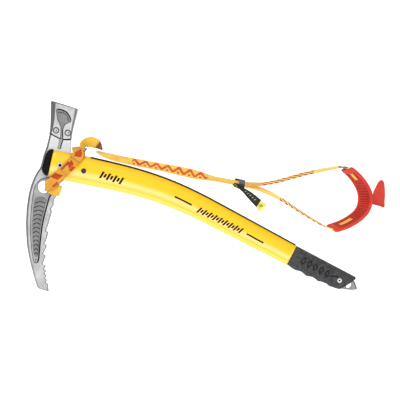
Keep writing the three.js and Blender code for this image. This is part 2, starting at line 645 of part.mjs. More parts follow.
// -------------------------------------------------------------------- straps
// rows of [x, z, tilt in degrees], in order from the hitch to the cuff
const TAIL = [[-156.14, 197.86, 90], [-150.2, 195.87, 90], [-144.39, 193.54, 90]];
const ROOT = [
  [-141.7, 192.48, 90], [-136.88, 191.06, 77], [-131.78, 189.71, 63], [-126.12, 188.37, 56],
  [-120.6, 187.16, 54]];
const MAIN_STRAP = [
  [-117.9, 186.53, 53], [-108.7, 184.54, 50], [-88.45, 180.72, 49], [-65.22, 176.33, 47],
  [-42.56, 171.66, 39], [-19.9, 166.7, 33], [-5.03, 163.3, 48], [9.85, 159.97, 66],
  [25.57, 156.95, 66], [41.29, 154.02, 66], [57.01, 151.09, 66]];
const UPPER_STRAP = [
  [60.12, 152.11, 66], [65.65, 151.9, 70], [76.7, 151.83, 74], [88.03, 153.24, 75],
  [97.66, 155.08, 75], [107.57, 157.49, 75], [125.42, 162.59, 74], [141.7, 166.84, 74],
  [166.06, 172.08, 75], [181.22, 174.77, 78], [191.7, 176.47, 83]];
const LOWER_STRAP = [
  [59.84, 148.43, 66], [65.65, 147.58, 68], [72.87, 145.88, 68], [81.09, 142.9, 68],
  [90.58, 138.8, 69], [104.31, 131.57, 73], [117.34, 123.36, 76], [133.63, 112.6, 79],
  [149.78, 102.54, 81], [161.39, 95.6, 83], [169.6, 91.78, 86]];

// -------------------------------------------------------------------- keeper
// slider: block with two arms, pierced for the webbing
const KEEPER_END = vec3(55.03, 0, 151.46);       // centre of its +X end
const KEEPER_RUN = vec3(0.98296, 0, -0.18381);   // along the webbing, towards the cuff
const KEEPER_WIDTH = tiltedWidth(KEEPER_RUN, 66);
const KEEPER_NORMAL = KEEPER_RUN.clone().cross(KEEPER_WIDTH);
const KEEPER_LENGTH = 15.2;
const KEEPER_HALF = [9.9, 3.1];                  // half width, half thickness
const KEEPER_CORNER = 1.6;
const KEEPER_SLOT_HALF = [8.2, 1.3];
const KEEPER_ARM_GAP_HALF = [7.9, 5];
const KEEPER_ARM_ROOT = -8.6;                    // where the arms join the block

// rectangle with each corner cut by two facets
function facetedRectangle(a, b, corner) {
  return [[1, -1], [1, 1], [-1, 1], [-1, -1]].flatMap(([signA, signB]) => {
    const cuts = [[corner, 0], [corner * 0.3, corner * 0.3], [0, corner]];
    if (signA * signB > 0) cuts.reverse();
    return cuts.map(([da, db]) => [signA * (a - da), signB * (b - db)]);
  });
}

// outline in (width, normal), carried along the run from one place to another
function keeperPrism(outline, from, to) {
  return prism(outline, (w, n, t) => KEEPER_END.clone()
    .addScaledVector(KEEPER_RUN, lerp(from, to, t))
    .addScaledVector(KEEPER_WIDTH, w)
    .addScaledVector(KEEPER_NORMAL, n)
    .toArray());
}

function makeKeeper() {
  const block = keeperPrism(facetedRectangle(...KEEPER_HALF, KEEPER_CORNER), -KEEPER_LENGTH, 0);
  return cut(solid(block),
    keeperPrism(rectangle(...KEEPER_SLOT_HALF), -17, 2),
    keeperPrism(rectangle(...KEEPER_ARM_GAP_HALF), -17, KEEPER_ARM_ROOT));
}

// pull ribbon of the slider, and its coloured end
const TAB_SIZE = [13.4, 1.2];                    // width, thickness
const PULL_TAB = [
  [[47.8, -11.6, 145.6], [0.42, 0.45, 0.75], 0.27],
  [[52.9, -11.4, 143.05], [0.45, 0.42, 0.75], 0.42],
  [[58, -10.8, 139.51], [0.5, 0.38, 0.75], 0.6],
  [[63.67, -9.8, 134.69], [0.55, 0.32, 0.74], 0.78],
  [[69.33, -8.6, 129.02], [0.6, 0.25, 0.73], 0.9],
  [[74.15, -7.6, 123.93], [0.64, 0.2, 0.72], 0.97]];
const PULL_TAB_END = [
  [[74.57, -7.5, 123.5], [0.64, 0.2, 0.72], 0.97],
  [[77.69, -7, 120.39], [0.64, 0.18, 0.72], 1.0],
  [[80.66, -6.6, 117.41], [0.64, 0.16, 0.72], 1.04]];

// --------------------------------------------------------------------- cuff
const CUFF_WIDTH = 25.0;
// top to bottom: x, z of the far (+Y) edge, then the x and z steps to the near (-Y) edge
const CUFF_EDGES = [
  [192.41, 172.51, 13.596, 2.124], [197.65, 168.26, 14.730, 1.416],
  [203.03, 162.59, 15.863, 0.850], [208.41, 155.51, 16.996, 0.283],
  [212.94, 147.58, 17.845, -0.142], [215.78, 139.36, 18.412, -0.425],
  [216.63, 130.87, 18.412, -0.850], [215.21, 122.09, 18.129, -1.983],
  [210.96, 114.15, 17.562, -3.682], [204.45, 108.21, 16.712, -5.382],
  [196.8, 103.11, 15.863, -6.515], [188.02, 98.57, 14.730, -7.365],
  [179.52, 95.32, 13.596, -7.790], [171.3, 92.63, 12.747, -7.790]];
// section as (across, normal); normal > 0 is the wrist side
const CUFF_SECTION = [
  [-12.5, -0.6], [-11.4, -2.1], [-6, -2.7], [6, -2.7], [11.4, -2.1], [12.5, -0.6], [12.5, 1.2],
  [11.6, 1.9], [9.6, 2.2], [4.8, 2.7], [-4.8, 2.7], [-9.6, 2.2], [-11.6, 1.9], [-12.5, 1.2]];
const CUFF_STEPS = 46;
const RIB_CORNERS = [8, 11];     // first and last section points that carry the ribs
const RIB_DEPTH = 0.7;
const RIB_MARGIN = 9;            // stations left smooth at each end
const STRAP_STEPS = 26;
const CHANNEL_HALF = [8.0, 1.25];
const CUFF_STRAP_HALF = [7.6, 0.8];
const CHANNEL_OVERRUN = 0.6;     // share of a step the channel runs past each end
const WINDOW_CUT_HEIGHT = 6;

const cuffControls = CUFF_EDGES.map(([x, z, dx, dz]) => ({
  centre: vec3(x + dx / 2, 0, z + dz / 2),
  width: vec3(dx, -Math.sqrt(CUFF_WIDTH ** 2 - dx * dx - dz * dz), dz).divideScalar(CUFF_WIDTH),
}));

function cuffFrames(steps) {
  const curve = curveThrough(cuffControls);
  return Array.from({ length: steps + 1 }, (_, k) => {
    const [i, u] = locate(cuffControls.length, k / steps);
    const across = cuffControls[i].width.clone().lerp(cuffControls[i + 1].width, u).normalize();
    const normal = curve.getTangent(k / steps).cross(across).normalize();
    return { centre: curve.getPoint(k / steps), across, normal };
  });
}

const inCuff = ({ centre, across, normal }, v, n) =>
  centre.clone().addScaledVector(across, v).addScaledVector(normal, n).toArray();

// bar of rectangular section v0..v1 across and n0..n1 along the normal
function cuffBar(frames, [v0, v1], [n0, n1]) {
  const corners = [[v1, n0], [v1, n1], [v0, n1], [v0, n0]];
  return loft(4, frames.length - 1, (i, k) => inCuff(frames[k], ...corners[i]));
}
const centredBar = (frames, [v, n]) => cuffBar(frames, [-v, v], [-n, n]);

// first frame pushed outwards, away from the second
const overrun = ([first, second]) =>
  ({ ...first, centre: first.centre.clone().lerp(second.centre, -CHANNEL_OVERRUN) });

function makeCuff() {
  const frames = cuffFrames(CUFF_STEPS);
  const body = loft(CUFF_SECTION.length, CUFF_STEPS, (i, k) => {
    const [v, n] = CUFF_SECTION[i];
    const onRibs = i >= RIB_CORNERS[0] && i <= RIB_CORNERS[1]
      && k > RIB_MARGIN && k < CUFF_STEPS - RIB_MARGIN - 1;
    return inCuff(frames[k], v, onRibs && k % 2 ? n - RIB_DEPTH : n);
  });
  const inner = cuffFrames(STRAP_STEPS);
  const channel = [overrun(inner), ...inner, overrun([...inner].reverse())];
  // windows open the channel to the wrist side near each end
  const windowCut = (from, to, span) =>
    cuffBar(frames.slice(from, to + 1), span, [0, WINDOW_CUT_HEIGHT]);
  return cut(solid(body),
    centredBar(channel, CHANNEL_HALF),
    windowCut(5, 10, [-4.2, 3.4]),
    windowCut(CUFF_STEPS - 12, CUFF_STEPS - 5, [-5.2, 2.6]));
}

const makeCuffStrap = () => centredBar(cuffFrames(STRAP_STEPS), CUFF_STRAP_HALF);

// flat fin on the +X side of the cuff, (x, z)
const FIN = [
  [227.77, 134.27], [235.89, 137.1], [237.73, 141.63], [240.14, 146.59], [242.97, 152.11],
  [245.52, 155.93], [247.78, 157.78], [250.05, 157.92], [252.18, 156.36], [253.73, 152.96],
  [254.44, 146.45], [254.72, 137.1], [254.16, 127.33], [253.45, 118.97], [246.37, 120.67],
  [239.85, 122.37], [235.6, 123.22], [227.77, 123.5]];
const FIN_ROOT_X = 230.22;
const FIN_ROOT_Y = 4.4;
const FIN_SLOPE = 0.3;           // y gained per millimetre of x
const FIN_THICKNESS = 1.45;      // between the bevels
// sizes along t are shares of FIN_THICKNESS
const FIN_EXTRUSION = {
  depth: 1, bevelEnabled: true, bevelThickness: 0.4, bevelSize: 0.5, bevelOffset: -0.5,
  bevelSegments: 1,
};

function makeFin() {
  return warp(new THREE.ExtrudeGeometry(shapeOf(FIN), FIN_EXTRUSION), (x, z, t) =>
    [x, FIN_ROOT_Y + (x - FIN_ROOT_X) * FIN_SLOPE + (0.5 - t) * FIN_THICKNESS, z]);
}

// ----------------------------------------------------------------- materials
const STEEL = { color: 0xc9cbcd, roughness: 0.34, metalness: 0.95 };
const YELLOW_PAINT = { color: 0xfcc419, roughness: 0.32, metalness: 0.25 };
const BLACK_PLASTIC = { color: 0x141416, roughness: 0.55, metalness: 0.0 };
const BRIGHT_RIVET = { color: 0xd8d9da, roughness: 0.3, metalness: 0.9 };
const DARK_RIVET = { color: 0x3a3834, roughness: 0.45, metalness: 0.8 };
const PALE_RIVET = { color: 0xe2e2e2, roughness: 0.3, metalness: 0.8 };
const GRIP_RUBBER = { color: 0x464648, roughness: 0.8, metalness: 0.0 };
const SLEEVE_PLASTIC = { color: 0x202022, roughness: 0.6, metalness: 0.0 };
const WEBBING = { color: 0xf0ae2c, roughness: 0.85, metalness: 0.0 };
const DARK_WEBBING = { ...WEBBING, color: 0xd8a326 };
const KEEPER_PLASTIC = { color: 0x1c1f20, roughness: 0.4, metalness: 0.0 };
const BLACK_RIBBON = { color: 0x16150f, roughness: 0.8, metalness: 0.0 };
const PALE_RIBBON = { color: 0xe0cf6a, roughness: 0.8, metalness: 0.0 };
const CUFF_RED = { color: 0xcf3a2a, roughness: 0.5, metalness: 0.0 };
const FIN_RED = { ...CUFF_RED, color: 0xd8412c };

// --------------------------------------------------------------------- group
const group = new THREE.Group();
group.name = 'ice_axe';

function addPiece(name, geometry, look) {
  const mesh = new THREE.Mesh(geometry, new THREE.MeshStandardMaterial(look));
  mesh.name = name;
  group.add(mesh);
}

const headRivet = { radius: HEAD_RIVET_RADIUS, end: HEAD_RIVET_END };
const frontRivet = { ...headRivet, flange: 4.2, bore: 2.1 };
const rearRivet = { ...headRivet, flange: 3.7, bore: 0 };
const spikeRivet = { radius: SPIKE_RIVET_RADIUS, flange: 3.4, end: SPIKE_RIVET_END, bore: 1.3 };

addPiece('head', geometryOf(makeHead()), STEEL);
addPiece('shaft_tube', geometryOf(makeTube()), YELLOW_PAINT);
addPiece('nose_cheek_near', makeNoseCheek(-1), BLACK_PLASTIC);
addPiece('nose_cheek_far', makeNoseCheek(1), BLACK_PLASTIC);
addPiece('head_rivet_front', makeRivet(FRONT_RIVET, frontRivet), BRIGHT_RIVET);
addPiece('head_rivet_rear', makeRivet(REAR_RIVET, rearRivet), DARK_RIVET);
addPiece('spine_strip', makeSpineStrip(), BLACK_PLASTIC);
addPiece('grip', geometryOf(makeGrip()), GRIP_RUBBER);
addPiece('spike_sleeve', geometryOf(makeSleeve()), SLEEVE_PLASTIC);
addPiece('spike', geometryOf(makeSpike()), STEEL);
addPiece('spike_rivet', makeRivet(SPIKE_RIVET, spikeRivet), PALE_RIVET);
addPiece('hitch_sling', makeSling(), WEBBING);
addPiece('hitch_wrap', makeWrap(), WEBBING);
addPiece('strap_bight', band(controlsOf(BIGHT), 14), DARK_WEBBING);
addPiece('hitch_tail', strap(TAIL, 4), WEBBING);
addPiece('strap_root', strap(ROOT, 8), WEBBING);
addPiece('strap_main', strap(MAIN_STRAP, 24), WEBBING);
addPiece('keeper', geometryOf(makeKeeper()), KEEPER_PLASTIC);
addPiece('keeper_pull_tab', band(controlsOf(PULL_TAB), 8, ...TAB_SIZE), BLACK_RIBBON);
addPiece('pull_tab_end', band(controlsOf(PULL_TAB_END), 3, ...TAB_SIZE), PALE_RIBBON);
addPiece('loop_upper_strap', strap(UPPER_STRAP, 20), WEBBING);
addPiece('loop_lower_strap', strap(LOWER_STRAP, 20), WEBBING);
addPiece('cuff', geometryOf(makeCuff()), CUFF_RED);
addPiece('cuff_strap', makeCuffStrap(), WEBBING);
addPiece('cuff_fin', makeFin(), FIN_RED);

export default group;
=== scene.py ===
"""Ice axe with a hammer head and a webbing wrist leash.

Seen from -Y with Z up: the head stands at the left (-X), its hammer block up and its
pick hanging down. The shaft runs down to the right and ends in the grip and spike.
The leash runs from the head to the cuff at the right (+X). Y is the thickness: -Y is
the near side, +Y the far side. Sizes are in millimetres, scaled to metres as meshes
are made; sizes inside materials, lights and camera are in metres.
"""
from math import copysign, cos, dist, hypot, pi, radians, sin, sqrt
import bpy
import bmesh
import numpy as np
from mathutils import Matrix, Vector


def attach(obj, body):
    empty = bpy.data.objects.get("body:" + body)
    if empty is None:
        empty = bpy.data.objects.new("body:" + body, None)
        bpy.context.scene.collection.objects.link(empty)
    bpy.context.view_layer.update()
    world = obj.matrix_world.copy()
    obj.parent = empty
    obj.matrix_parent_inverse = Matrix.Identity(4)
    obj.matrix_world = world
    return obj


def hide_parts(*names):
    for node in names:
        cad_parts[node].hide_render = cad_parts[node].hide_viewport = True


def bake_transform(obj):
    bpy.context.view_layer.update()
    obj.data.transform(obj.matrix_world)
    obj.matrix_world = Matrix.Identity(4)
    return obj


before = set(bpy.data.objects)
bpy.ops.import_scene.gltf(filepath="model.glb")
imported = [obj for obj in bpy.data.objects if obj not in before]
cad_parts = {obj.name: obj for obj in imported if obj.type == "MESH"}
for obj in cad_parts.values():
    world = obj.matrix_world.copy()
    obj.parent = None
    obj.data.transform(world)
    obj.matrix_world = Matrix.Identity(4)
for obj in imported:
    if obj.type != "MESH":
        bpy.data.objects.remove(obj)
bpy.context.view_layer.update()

MM = 0.001
SIDES = ((-1, "near"), (1, "far"))
THROUGH = 20  # half length along Y of cutters that pass right through


# ------------------------------------------------------------------ geometry
def lerp(a, b, t):
    return a + (b - a) * t


def smooth(t):
    t = min(1.0, max(0.0, t))
    return t * t * (3 - 2 * t)


def unit(vector):
    vector = np.asarray(vector, float)
    return vector / (np.linalg.norm(vector) + 1e-12)


def curve_span(p0, p1, p2, p3, t):
    """Point at t from p1 to p2 on the centripetal curve through four points."""
    d0, d1, d2 = (max(1e-4, np.linalg.norm(b - a) ** 0.5)
                  for a, b in ((p0, p1), (p1, p2), (p2, p3)))
    t1 = ((p1 - p0) / d0 - (p2 - p0) / (d0 + d1) + (p2 - p1) / d1) * d1
    t2 = ((p2 - p1) / d1 - (p3 - p1) / (d1 + d2) + (p3 - p2) / d2) * d1
    return (p1 + t1 * t + (-3 * p1 + 3 * p2 - 2 * t1 - t2) * t * t
            + (2 * p1 - 2 * p2 + t1 + t2) * t ** 3)


def curve_at(points, place):
    """Point on an open curve; place 1.5 is halfway from points[1] to points[2]."""
    last = len(points) - 1
    i = min(last - 1, int(place))
    p1, p2 = points[i], points[i + 1]
    p0 = points[i - 1] if i > 0 else 2 * p1 - p2
    p3 = points[i + 2] if i + 2 <= last else 2 * p2 - p1
    return curve_span(p0, p1, p2, p3, place - i)


def smooth_outline(outline, per):
    """Closed curve through the outline, with per points to each span."""
    points = np.array(outline, float)
    n = len(points)
    return np.array([curve_span(points[i - 1], points[i], points[(i + 1) % n],
                                points[(i + 2) % n], t)
                     for i in range(n) for t in np.arange(per) / per])


def outward_normals(outline):
    tangent = np.roll(outline, -1, 0) - np.roll(outline, 1, 0)
    tangent /= np.linalg.norm(tangent, axis=1)[:, None] + 1e-9
    x, z = outline[:, 0], outline[:, 1]
    area = 0.5 * np.sum(x * np.roll(z, -1) - np.roll(x, -1) * z)
    return np.stack([tangent[:, 1], -tangent[:, 0]], 1) * (1 if area > 0 else -1)


def circle(centre, radius, count):
    return [(centre[0] + radius * cos(2 * pi * i / count),
             centre[1] + radius * sin(2 * pi * i / count)) for i in range(count)]


def at_y(outline, y):
    """An (x, z) outline as 3D points at one y."""
    return [(x, y, z) for x, z in outline]


# -------------------------------------------------------------------- meshes
def new_object(name, verts, faces, material=None, uvs=None, shade_smooth=True):
    mesh = bpy.data.meshes.new(name)
    mesh.from_pydata([tuple(float(c) * MM for c in v) for v in verts], [], faces)
    if uvs is not None:
        layer = mesh.uv_layers.new(name="flat")
        for loop in mesh.loops:
            layer.data[loop.index].uv = uvs[loop.vertex_index]
    mesh.polygons.foreach_set("use_smooth", [shade_smooth] * len(mesh.polygons))
    mesh.update()
    piece = bpy.data.objects.new(name, mesh)
    bpy.context.scene.collection.objects.link(piece)
    if material is not None:
        mesh.materials.append(material)
    return piece


def fix_normals(piece):
    bm = bmesh.new()
    bm.from_mesh(piece.data)
    bmesh.ops.recalc_face_normals(bm, faces=bm.faces)
    if bm.calc_volume(signed=True) < 0:
        bmesh.ops.reverse_faces(bm, faces=bm.faces)
    bm.to_mesh(piece.data)
    bm.free()


def soften(piece, degrees):
    """Shade smooth, with sharp edges where faces meet at more than this angle."""
    limit = radians(degrees)
    bm = bmesh.new()
    bm.from_mesh(piece.data)
    for edge in bm.edges:
        edge.smooth = not (len(edge.link_faces) == 2 and edge.calc_face_angle(0) > limit)
    for face in bm.faces:
        face.smooth = True
    bm.to_mesh(piece.data)
    bm.free()


def grid_faces(rows, n, closed=False):
    """Quads between closed rings of n points; closed joins the last ring to the first."""
    faces = []
    for k in range(rows if closed else rows - 1):
        a, b = k * n, (k + 1) % rows * n
        for i in range(n):
            j = (i + 1) % n
            faces.append((a + i, a + j, b + j, b + i))
    return faces


def grid_object(name, rings, material=None, uv=None, sharp=35):
    """Skin over a row of closed rings, with a fan of triangles on each end."""
    grid = np.asarray(rings, float)
    rows, n = grid.shape[:2]
    verts = list(grid.reshape(-1, 3))
    faces = grid_faces(rows, n)
    uvs = None
    if uv is not None:
        uv = np.asarray(uv, float)
        uvs = list(uv.reshape(-1, 2))
    for k in (0, rows - 1):
        hub = len(verts)
        verts.append(grid[k].mean(axis=0))
        if uvs is not None:
            uvs.append(uv[k].mean(axis=0))
        for i in range(n):
            a, b = k * n + i, k * n + (i + 1) % n
            faces.append((b, a, hub) if k == 0 else (a, b, hub))
    piece = new_object(name, verts, faces, material, uvs)
    fix_normals(piece)
    soften(piece, sharp)
    return piece


def stacked_solid(name, rings, material=None, shade_smooth=False):
    """Skin over a row of closed rings, with one flat face on each end."""
    grid = np.asarray(rings, float)
    rows, n = grid.shape[:2]
    faces = grid_faces(rows, n)
    faces.append(tuple(range(n))[::-1])
    faces.append(tuple((rows - 1) * n + i for i in range(n)))
    piece = new_object(name, list(grid.reshape(-1, 3)), faces, material,
                       shade_smooth=shade_smooth)
    fix_normals(piece)
    return piece


def extrusion(start, end):
    """Cutter between two matching rings of 3D points."""
    n = len(start)
    faces = [tuple(range(n))[::-1], tuple(range(n, 2 * n))]
    faces += [(i, (i + 1) % n, n + (i + 1) % n, n + i) for i in range(n)]
    piece = new_object("cutter", start + end, faces, shade_smooth=False)
    fix_normals(piece)
    return piece


def prism(outline, y_start, y_end):
    """Cutter: an (x, z) outline carried along y."""
    return extrusion(at_y(outline, y_start), at_y(outline, y_end))


def rod(centre, radius):
    return prism(circle(centre, radius, 32), -THROUGH, THROUGH)


def cut(piece, cutters, operation='DIFFERENCE'):
    """Apply each cutter in turn, then delete them."""
    for cutter in cutters:
        mod = piece.modifiers.new("cut", 'BOOLEAN')
        mod.operation = operation
        mod.solver = 'MANIFOLD'
        mod.object = cutter
        bpy.context.view_layer.update()
        graph = bpy.context.evaluated_depsgraph_get()
        mesh = bpy.data.meshes.new_from_object(piece.evaluated_get(graph), depsgraph=graph)
        piece.modifiers.clear()
        old = piece.data
        piece.data = mesh
        bpy.data.meshes.remove(old)
    for cutter in cutters:
        mesh = cutter.data
        bpy.data.objects.remove(cutter, do_unlink=True)
        bpy.data.meshes.remove(mesh)


def second_material(piece, material, flags):
    """Add a material and give it to the flagged faces; faces past the flags keep the first."""
    piece.data.materials.append(material)
    flags = flags + [0] * (len(piece.data.polygons) - len(flags))
    piece.data.polygons.foreach_set("material_index", flags)


def ride(piece, body, slot=None, *replaced):
    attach(piece, body)
    if replaced:
        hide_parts(*replaced)


# ---------------------------------------------------------- material builder
def srgb(red, green, blue):
    """Linear colour from 0-255 sRGB values."""
    def linear(v):
        return ((v / 255 + 0.055) / 1.055) ** 2.4 if v > 10.3 else v / 255 / 12.92
    return (linear(red), linear(green), linear(blue), 1.0)


def grey(value):
    return (value, value, value, 1.0)


def lighter(colour, gain):
    return tuple(min(1.0, v * gain + 0.004) for v in colour[:3]) + (1,)


class Shader:
    """Node material built round one Principled shader; methods return output sockets."""
    def __init__(self, name):
        self.material = bpy.data.materials.new(name)
        self.material.use_nodes = True
        self.tree = self.material.node_tree
        self.tree.nodes.clear()
        output = self.node("OutputMaterial")
        self.principled = self.node("BsdfPrincipled")
        self.feed(output.inputs[0], self.principled.outputs[0])

    def node(self, kind):
        return self.tree.nodes.new("ShaderNode" + kind)

    def feed(self, socket, value):
        """Link a socket, or set a plain value."""
        if hasattr(value, "is_output"):
            self.tree.links.new(value, socket)
        else:
            socket.default_value = value

    def set(self, **inputs):
        for name, value in inputs.items():
            self.feed(self.principled.inputs[name.replace("_", " ")], value)

    def math(self, operation, a, b=0.0, c=None):
        node = self.node("Math")
        node.operation = operation
        self.feed(node.inputs[0], a)
        self.feed(node.inputs[1], b)
        if c is not None:
            self.feed(node.inputs[2], c)
        return node.outputs[0]

    def plus(self, a, b):
        return self.math('ADD', a, b)

    def minus(self, a, b):
        return self.math('SUBTRACT', a, b)

    def times(self, a, b):
        return self.math('MULTIPLY', a, b)

    def below(self, a, limit):
        return self.math('LESS_THAN', a, limit)

    def size(self, a):
        return self.math('ABSOLUTE', a)

    def within(self, value, start, end):
        return self.times(self.math('GREATER_THAN', value, start), self.below(value, end))

    def mix(self, amount, base, over, blend='MIX'):
        node = self.node("Mix")
        node.data_type = 'RGBA'
        node.blend_type = blend
        for index, value in ((0, amount), (6, base), (7, over)):
            self.feed(node.inputs[index], value)
        return node.outputs[2]

    def ramp(self, amount, stops):
        """Colour ramp; stops are (position, colour)."""
        node = self.node("ValToRGB")
        marks = node.color_ramp.elements
        while len(marks) > 1:
            marks.remove(marks[-1])
        marks[0].position, marks[0].color = stops[0]
        for position, colour in stops[1:]:
            marks.new(position).color = colour
        self.feed(node.inputs[0], amount)
        return node.outputs[0]

    def remap(self, value, over, to=(0.0, 1.0), eased=False):
        """Carry the range over onto the range to, clamped."""
        node = self.node("MapRange")
        node.clamp = True
        if eased:
            node.interpolation_type = 'SMOOTHSTEP'
        for index, item in enumerate((value, *over, *to)):
            self.feed(node.inputs[index], item)
        return node.outputs[0]

    def coords(self, stretch=(1, 1, 1), turn=(0, 0, 0)):
        mapping = self.node("Mapping")
        mapping.inputs["Scale"].default_value = stretch
        mapping.inputs["Rotation"].default_value = turn
        self.feed(mapping.inputs[0], self.node("TexCoord").outputs["Object"])
        return mapping.outputs[0]

    def split(self, vector):
        node = self.node("SeparateXYZ")
        self.feed(node.inputs[0], vector)
        return node.outputs

    def strip_coords(self):
        """Distances along and across a band, in mm."""
        node = self.node("UVMap")
        node.uv_map = "flat"
        return self.split(node.outputs[0])[:2]

    def geometry(self, output):
        return self.node("NewGeometry").outputs[output]

    def noise(self, scale, detail=3.0, roughness=0.5, **coords):
        node = self.node("TexNoise")
        self.feed(node.inputs["Vector"], self.coords(**coords))
        node.inputs["Scale"].default_value = scale
        node.inputs["Detail"].default_value = detail
        node.inputs["Roughness"].default_value = roughness
        return node.outputs[0]

    def bump(self, height, strength, distance, normal=None):
        node = self.node("Bump")
        node.inputs["Strength"].default_value = strength
        node.inputs["Distance"].default_value = distance
        self.feed(node.inputs["Height"], height)
        if normal is not None:
            self.feed(node.inputs["Normal"], normal)
        return node.outputs[0]


# ----------------------------------------------------------- metal and paint
def steel_material(name, light, dark, rough, bevelled=True, pale_patch=False):
    """light is the tone of faces across Y; slopes and edges are painted shade, dark times a
    factor that rises as they turn from -X to +X.
    """
    mat = Shader(name)
    normal = mat.split(mat.geometry("True Normal"))
    facing = mat.size(normal[1])
    # painted light: slopes facing -X come out darker, those facing +X lighter
    side = mat.ramp(mat.math('MULTIPLY_ADD', normal[0], 0.5, 0.5), [
        (0.0, grey(0.85)), (0.13, grey(1.2)), (0.3, grey(1.45)), (0.5, grey(1.3)),
        (0.8, grey(2.0))])
    grain = mat.noise(scale=3.0, detail=4.0, roughness=0.6, stretch=(40, 40, 700))
    cloud = mat.noise(scale=70.0, detail=5.0, roughness=0.62)
    spots = mat.noise(scale=700.0, detail=3.0, roughness=0.6)
    slope = mat.mix(1.0, (dark, dark, dark * 1.03, 1), side, 'MULTIPLY')
    slope = mat.mix(mat.remap(cloud, over=(0.35, 0.65), to=(0.0, 0.35)), slope,
                    grey(dark * 0.45))
    flat = mat.mix(mat.remap(cloud, over=(0.33, 0.67)),
                   (light * 0.80, light * 0.805, light * 0.82, 1),
                   (light * 1.14, light * 1.14, light * 1.15, 1))
    if pale_patch:  # the upper tang, between the heights below and close to the middle plane
        place = mat.split(mat.coords())
        zone = mat.times(mat.remap(place[2], over=(0.190, 0.204), eased=True),
                         mat.below(mat.size(place[1]), 0.0053))
        flat = mat.mix(mat.times(zone, 0.8), flat, (0.86, 0.86, 0.88, 1))
    # faces across Y take the flat tone, steeper faces the painted shade of the slopes
    tone = mat.mix(mat.remap(facing, over=(0.80, 0.975), eased=True), slope, flat)
    tone = mat.mix(mat.times(grain, 0.22), tone, (0.55, 0.55, 0.56, 1), 'MULTIPLY')
    tone = mat.mix(mat.remap(spots, over=(0.56, 0.72), to=(0.0, 0.32)), tone,
                   (0.22, 0.22, 0.225, 1))
    rounded_edge = None
    if bevelled:
        bevel = mat.node("Bevel")
        bevel.samples = 4
        bevel.inputs["Radius"].default_value = 0.00035
        rounded_edge = bevel.outputs[0]
    height = mat.plus(mat.times(grain, 0.5), mat.plus(cloud, mat.times(spots, 0.3)))
    mat.set(Base_Color=tone, Metallic=0.55, Specular_IOR_Level=0.5,
            Roughness=mat.remap(cloud, over=(0.2, 0.8), to=(rough - 0.04, rough + 0.14)),
            Normal=mat.bump(height, strength=0.22, distance=0.0004, normal=rounded_edge))
    return mat.material


def wall_shade_material():
    """Sloped sides of the head's recesses, in painted shade: darker the more they face one low
    direction.
    """
    mat = Shader("steel_recess_wall_shade")
    dot = mat.node("VectorMath")
    dot.operation = 'DOT_PRODUCT'
    mat.feed(dot.inputs[0], mat.geometry("True Normal"))
    dot.inputs[1].default_value = (-0.78, 0.0, -0.62)
    grain = mat.noise(scale=300.0)
    tone = mat.ramp(mat.remap(dot.outputs["Value"], over=(-0.7, 0.6)), [
        (0.0, (0.13, 0.13, 0.135, 1)), (0.42, (0.07, 0.07, 0.072, 1)),
        (0.66, (0.012, 0.012, 0.013, 1)), (1.0, (0.003, 0.003, 0.0035, 1))])
    tone = mat.mix(mat.times(grain, 0.08), tone, grey(0.12))
    mat.set(Base_Color=tone, Metallic=0.0, Specular_IOR_Level=0.12, Roughness=0.55,
            Normal=mat.bump(grain, strength=0.1, distance=0.0003))
    return mat.material


def paint_and_highlight_material():
    """Yellow paint with painted light by the height of the normal: deep above, a pale band of
    painted highlight below the middle, a darker line under it, paler again lower down.
    """
    mat = Shader("shaft_paint_yellow_and_highlight")
    height = mat.math('MULTIPLY_ADD', mat.split(mat.geometry("Normal"))[2], 0.5, 0.5)
    base = mat.ramp(height, [
        (0.0, srgb(232, 206, 70)), (0.10, srgb(250, 222, 84)), (0.26, srgb(255, 226, 96)),
        (0.325, srgb(246, 202, 56)), (0.375, srgb(253, 216, 100)),
        (0.42, srgb(255, 226, 136)), (0.462, srgb(255, 222, 122)),
        (0.496, srgb(253, 204, 26)), (0.70, srgb(252, 200, 14)), (0.86, srgb(250, 192, 4)),
        (1.0, srgb(248, 196, 30))])
    base = mat.mix(mat.times(mat.noise(scale=40.0), 0.12), base, srgb(240, 178, 14))
    wear = mat.noise(scale=900.0, detail=2.0)
    scratch = mat.noise(scale=3.0, detail=2.0, stretch=(30, 400, 400), turn=(0, 0.4, 0))
    mat.set(Base_Color=base, Metallic=0.0, Coat_Weight=0.2, Coat_Roughness=0.2,
            Specular_IOR_Level=0.35,
            Roughness=mat.remap(scratch, over=(0.3, 0.7), to=(0.34, 0.46)),
            Normal=mat.bump(wear, strength=0.06, distance=0.0002))
    return mat.material


# -------------------------------------------------------- plastic and rubber
def plastic_material(name, colour, rough, bump, scale=1400.0, coat=0.0, vary=0.5, spec=0.22):
    mat = Shader(name)
    grain = mat.noise(scale=scale)
    cloud = mat.noise(scale=90.0)
    mat.set(Base_Color=mat.mix(mat.times(cloud, vary), colour, lighter(colour, 1.7)),
            Roughness=mat.remap(cloud, over=(0.3, 0.7), to=(rough - 0.05, rough + 0.1)),
            Coat_Weight=coat, Coat_Roughness=0.3, Specular_IOR_Level=spec,
            Normal=mat.bump(grain, strength=bump, distance=0.0003))
    return mat.material


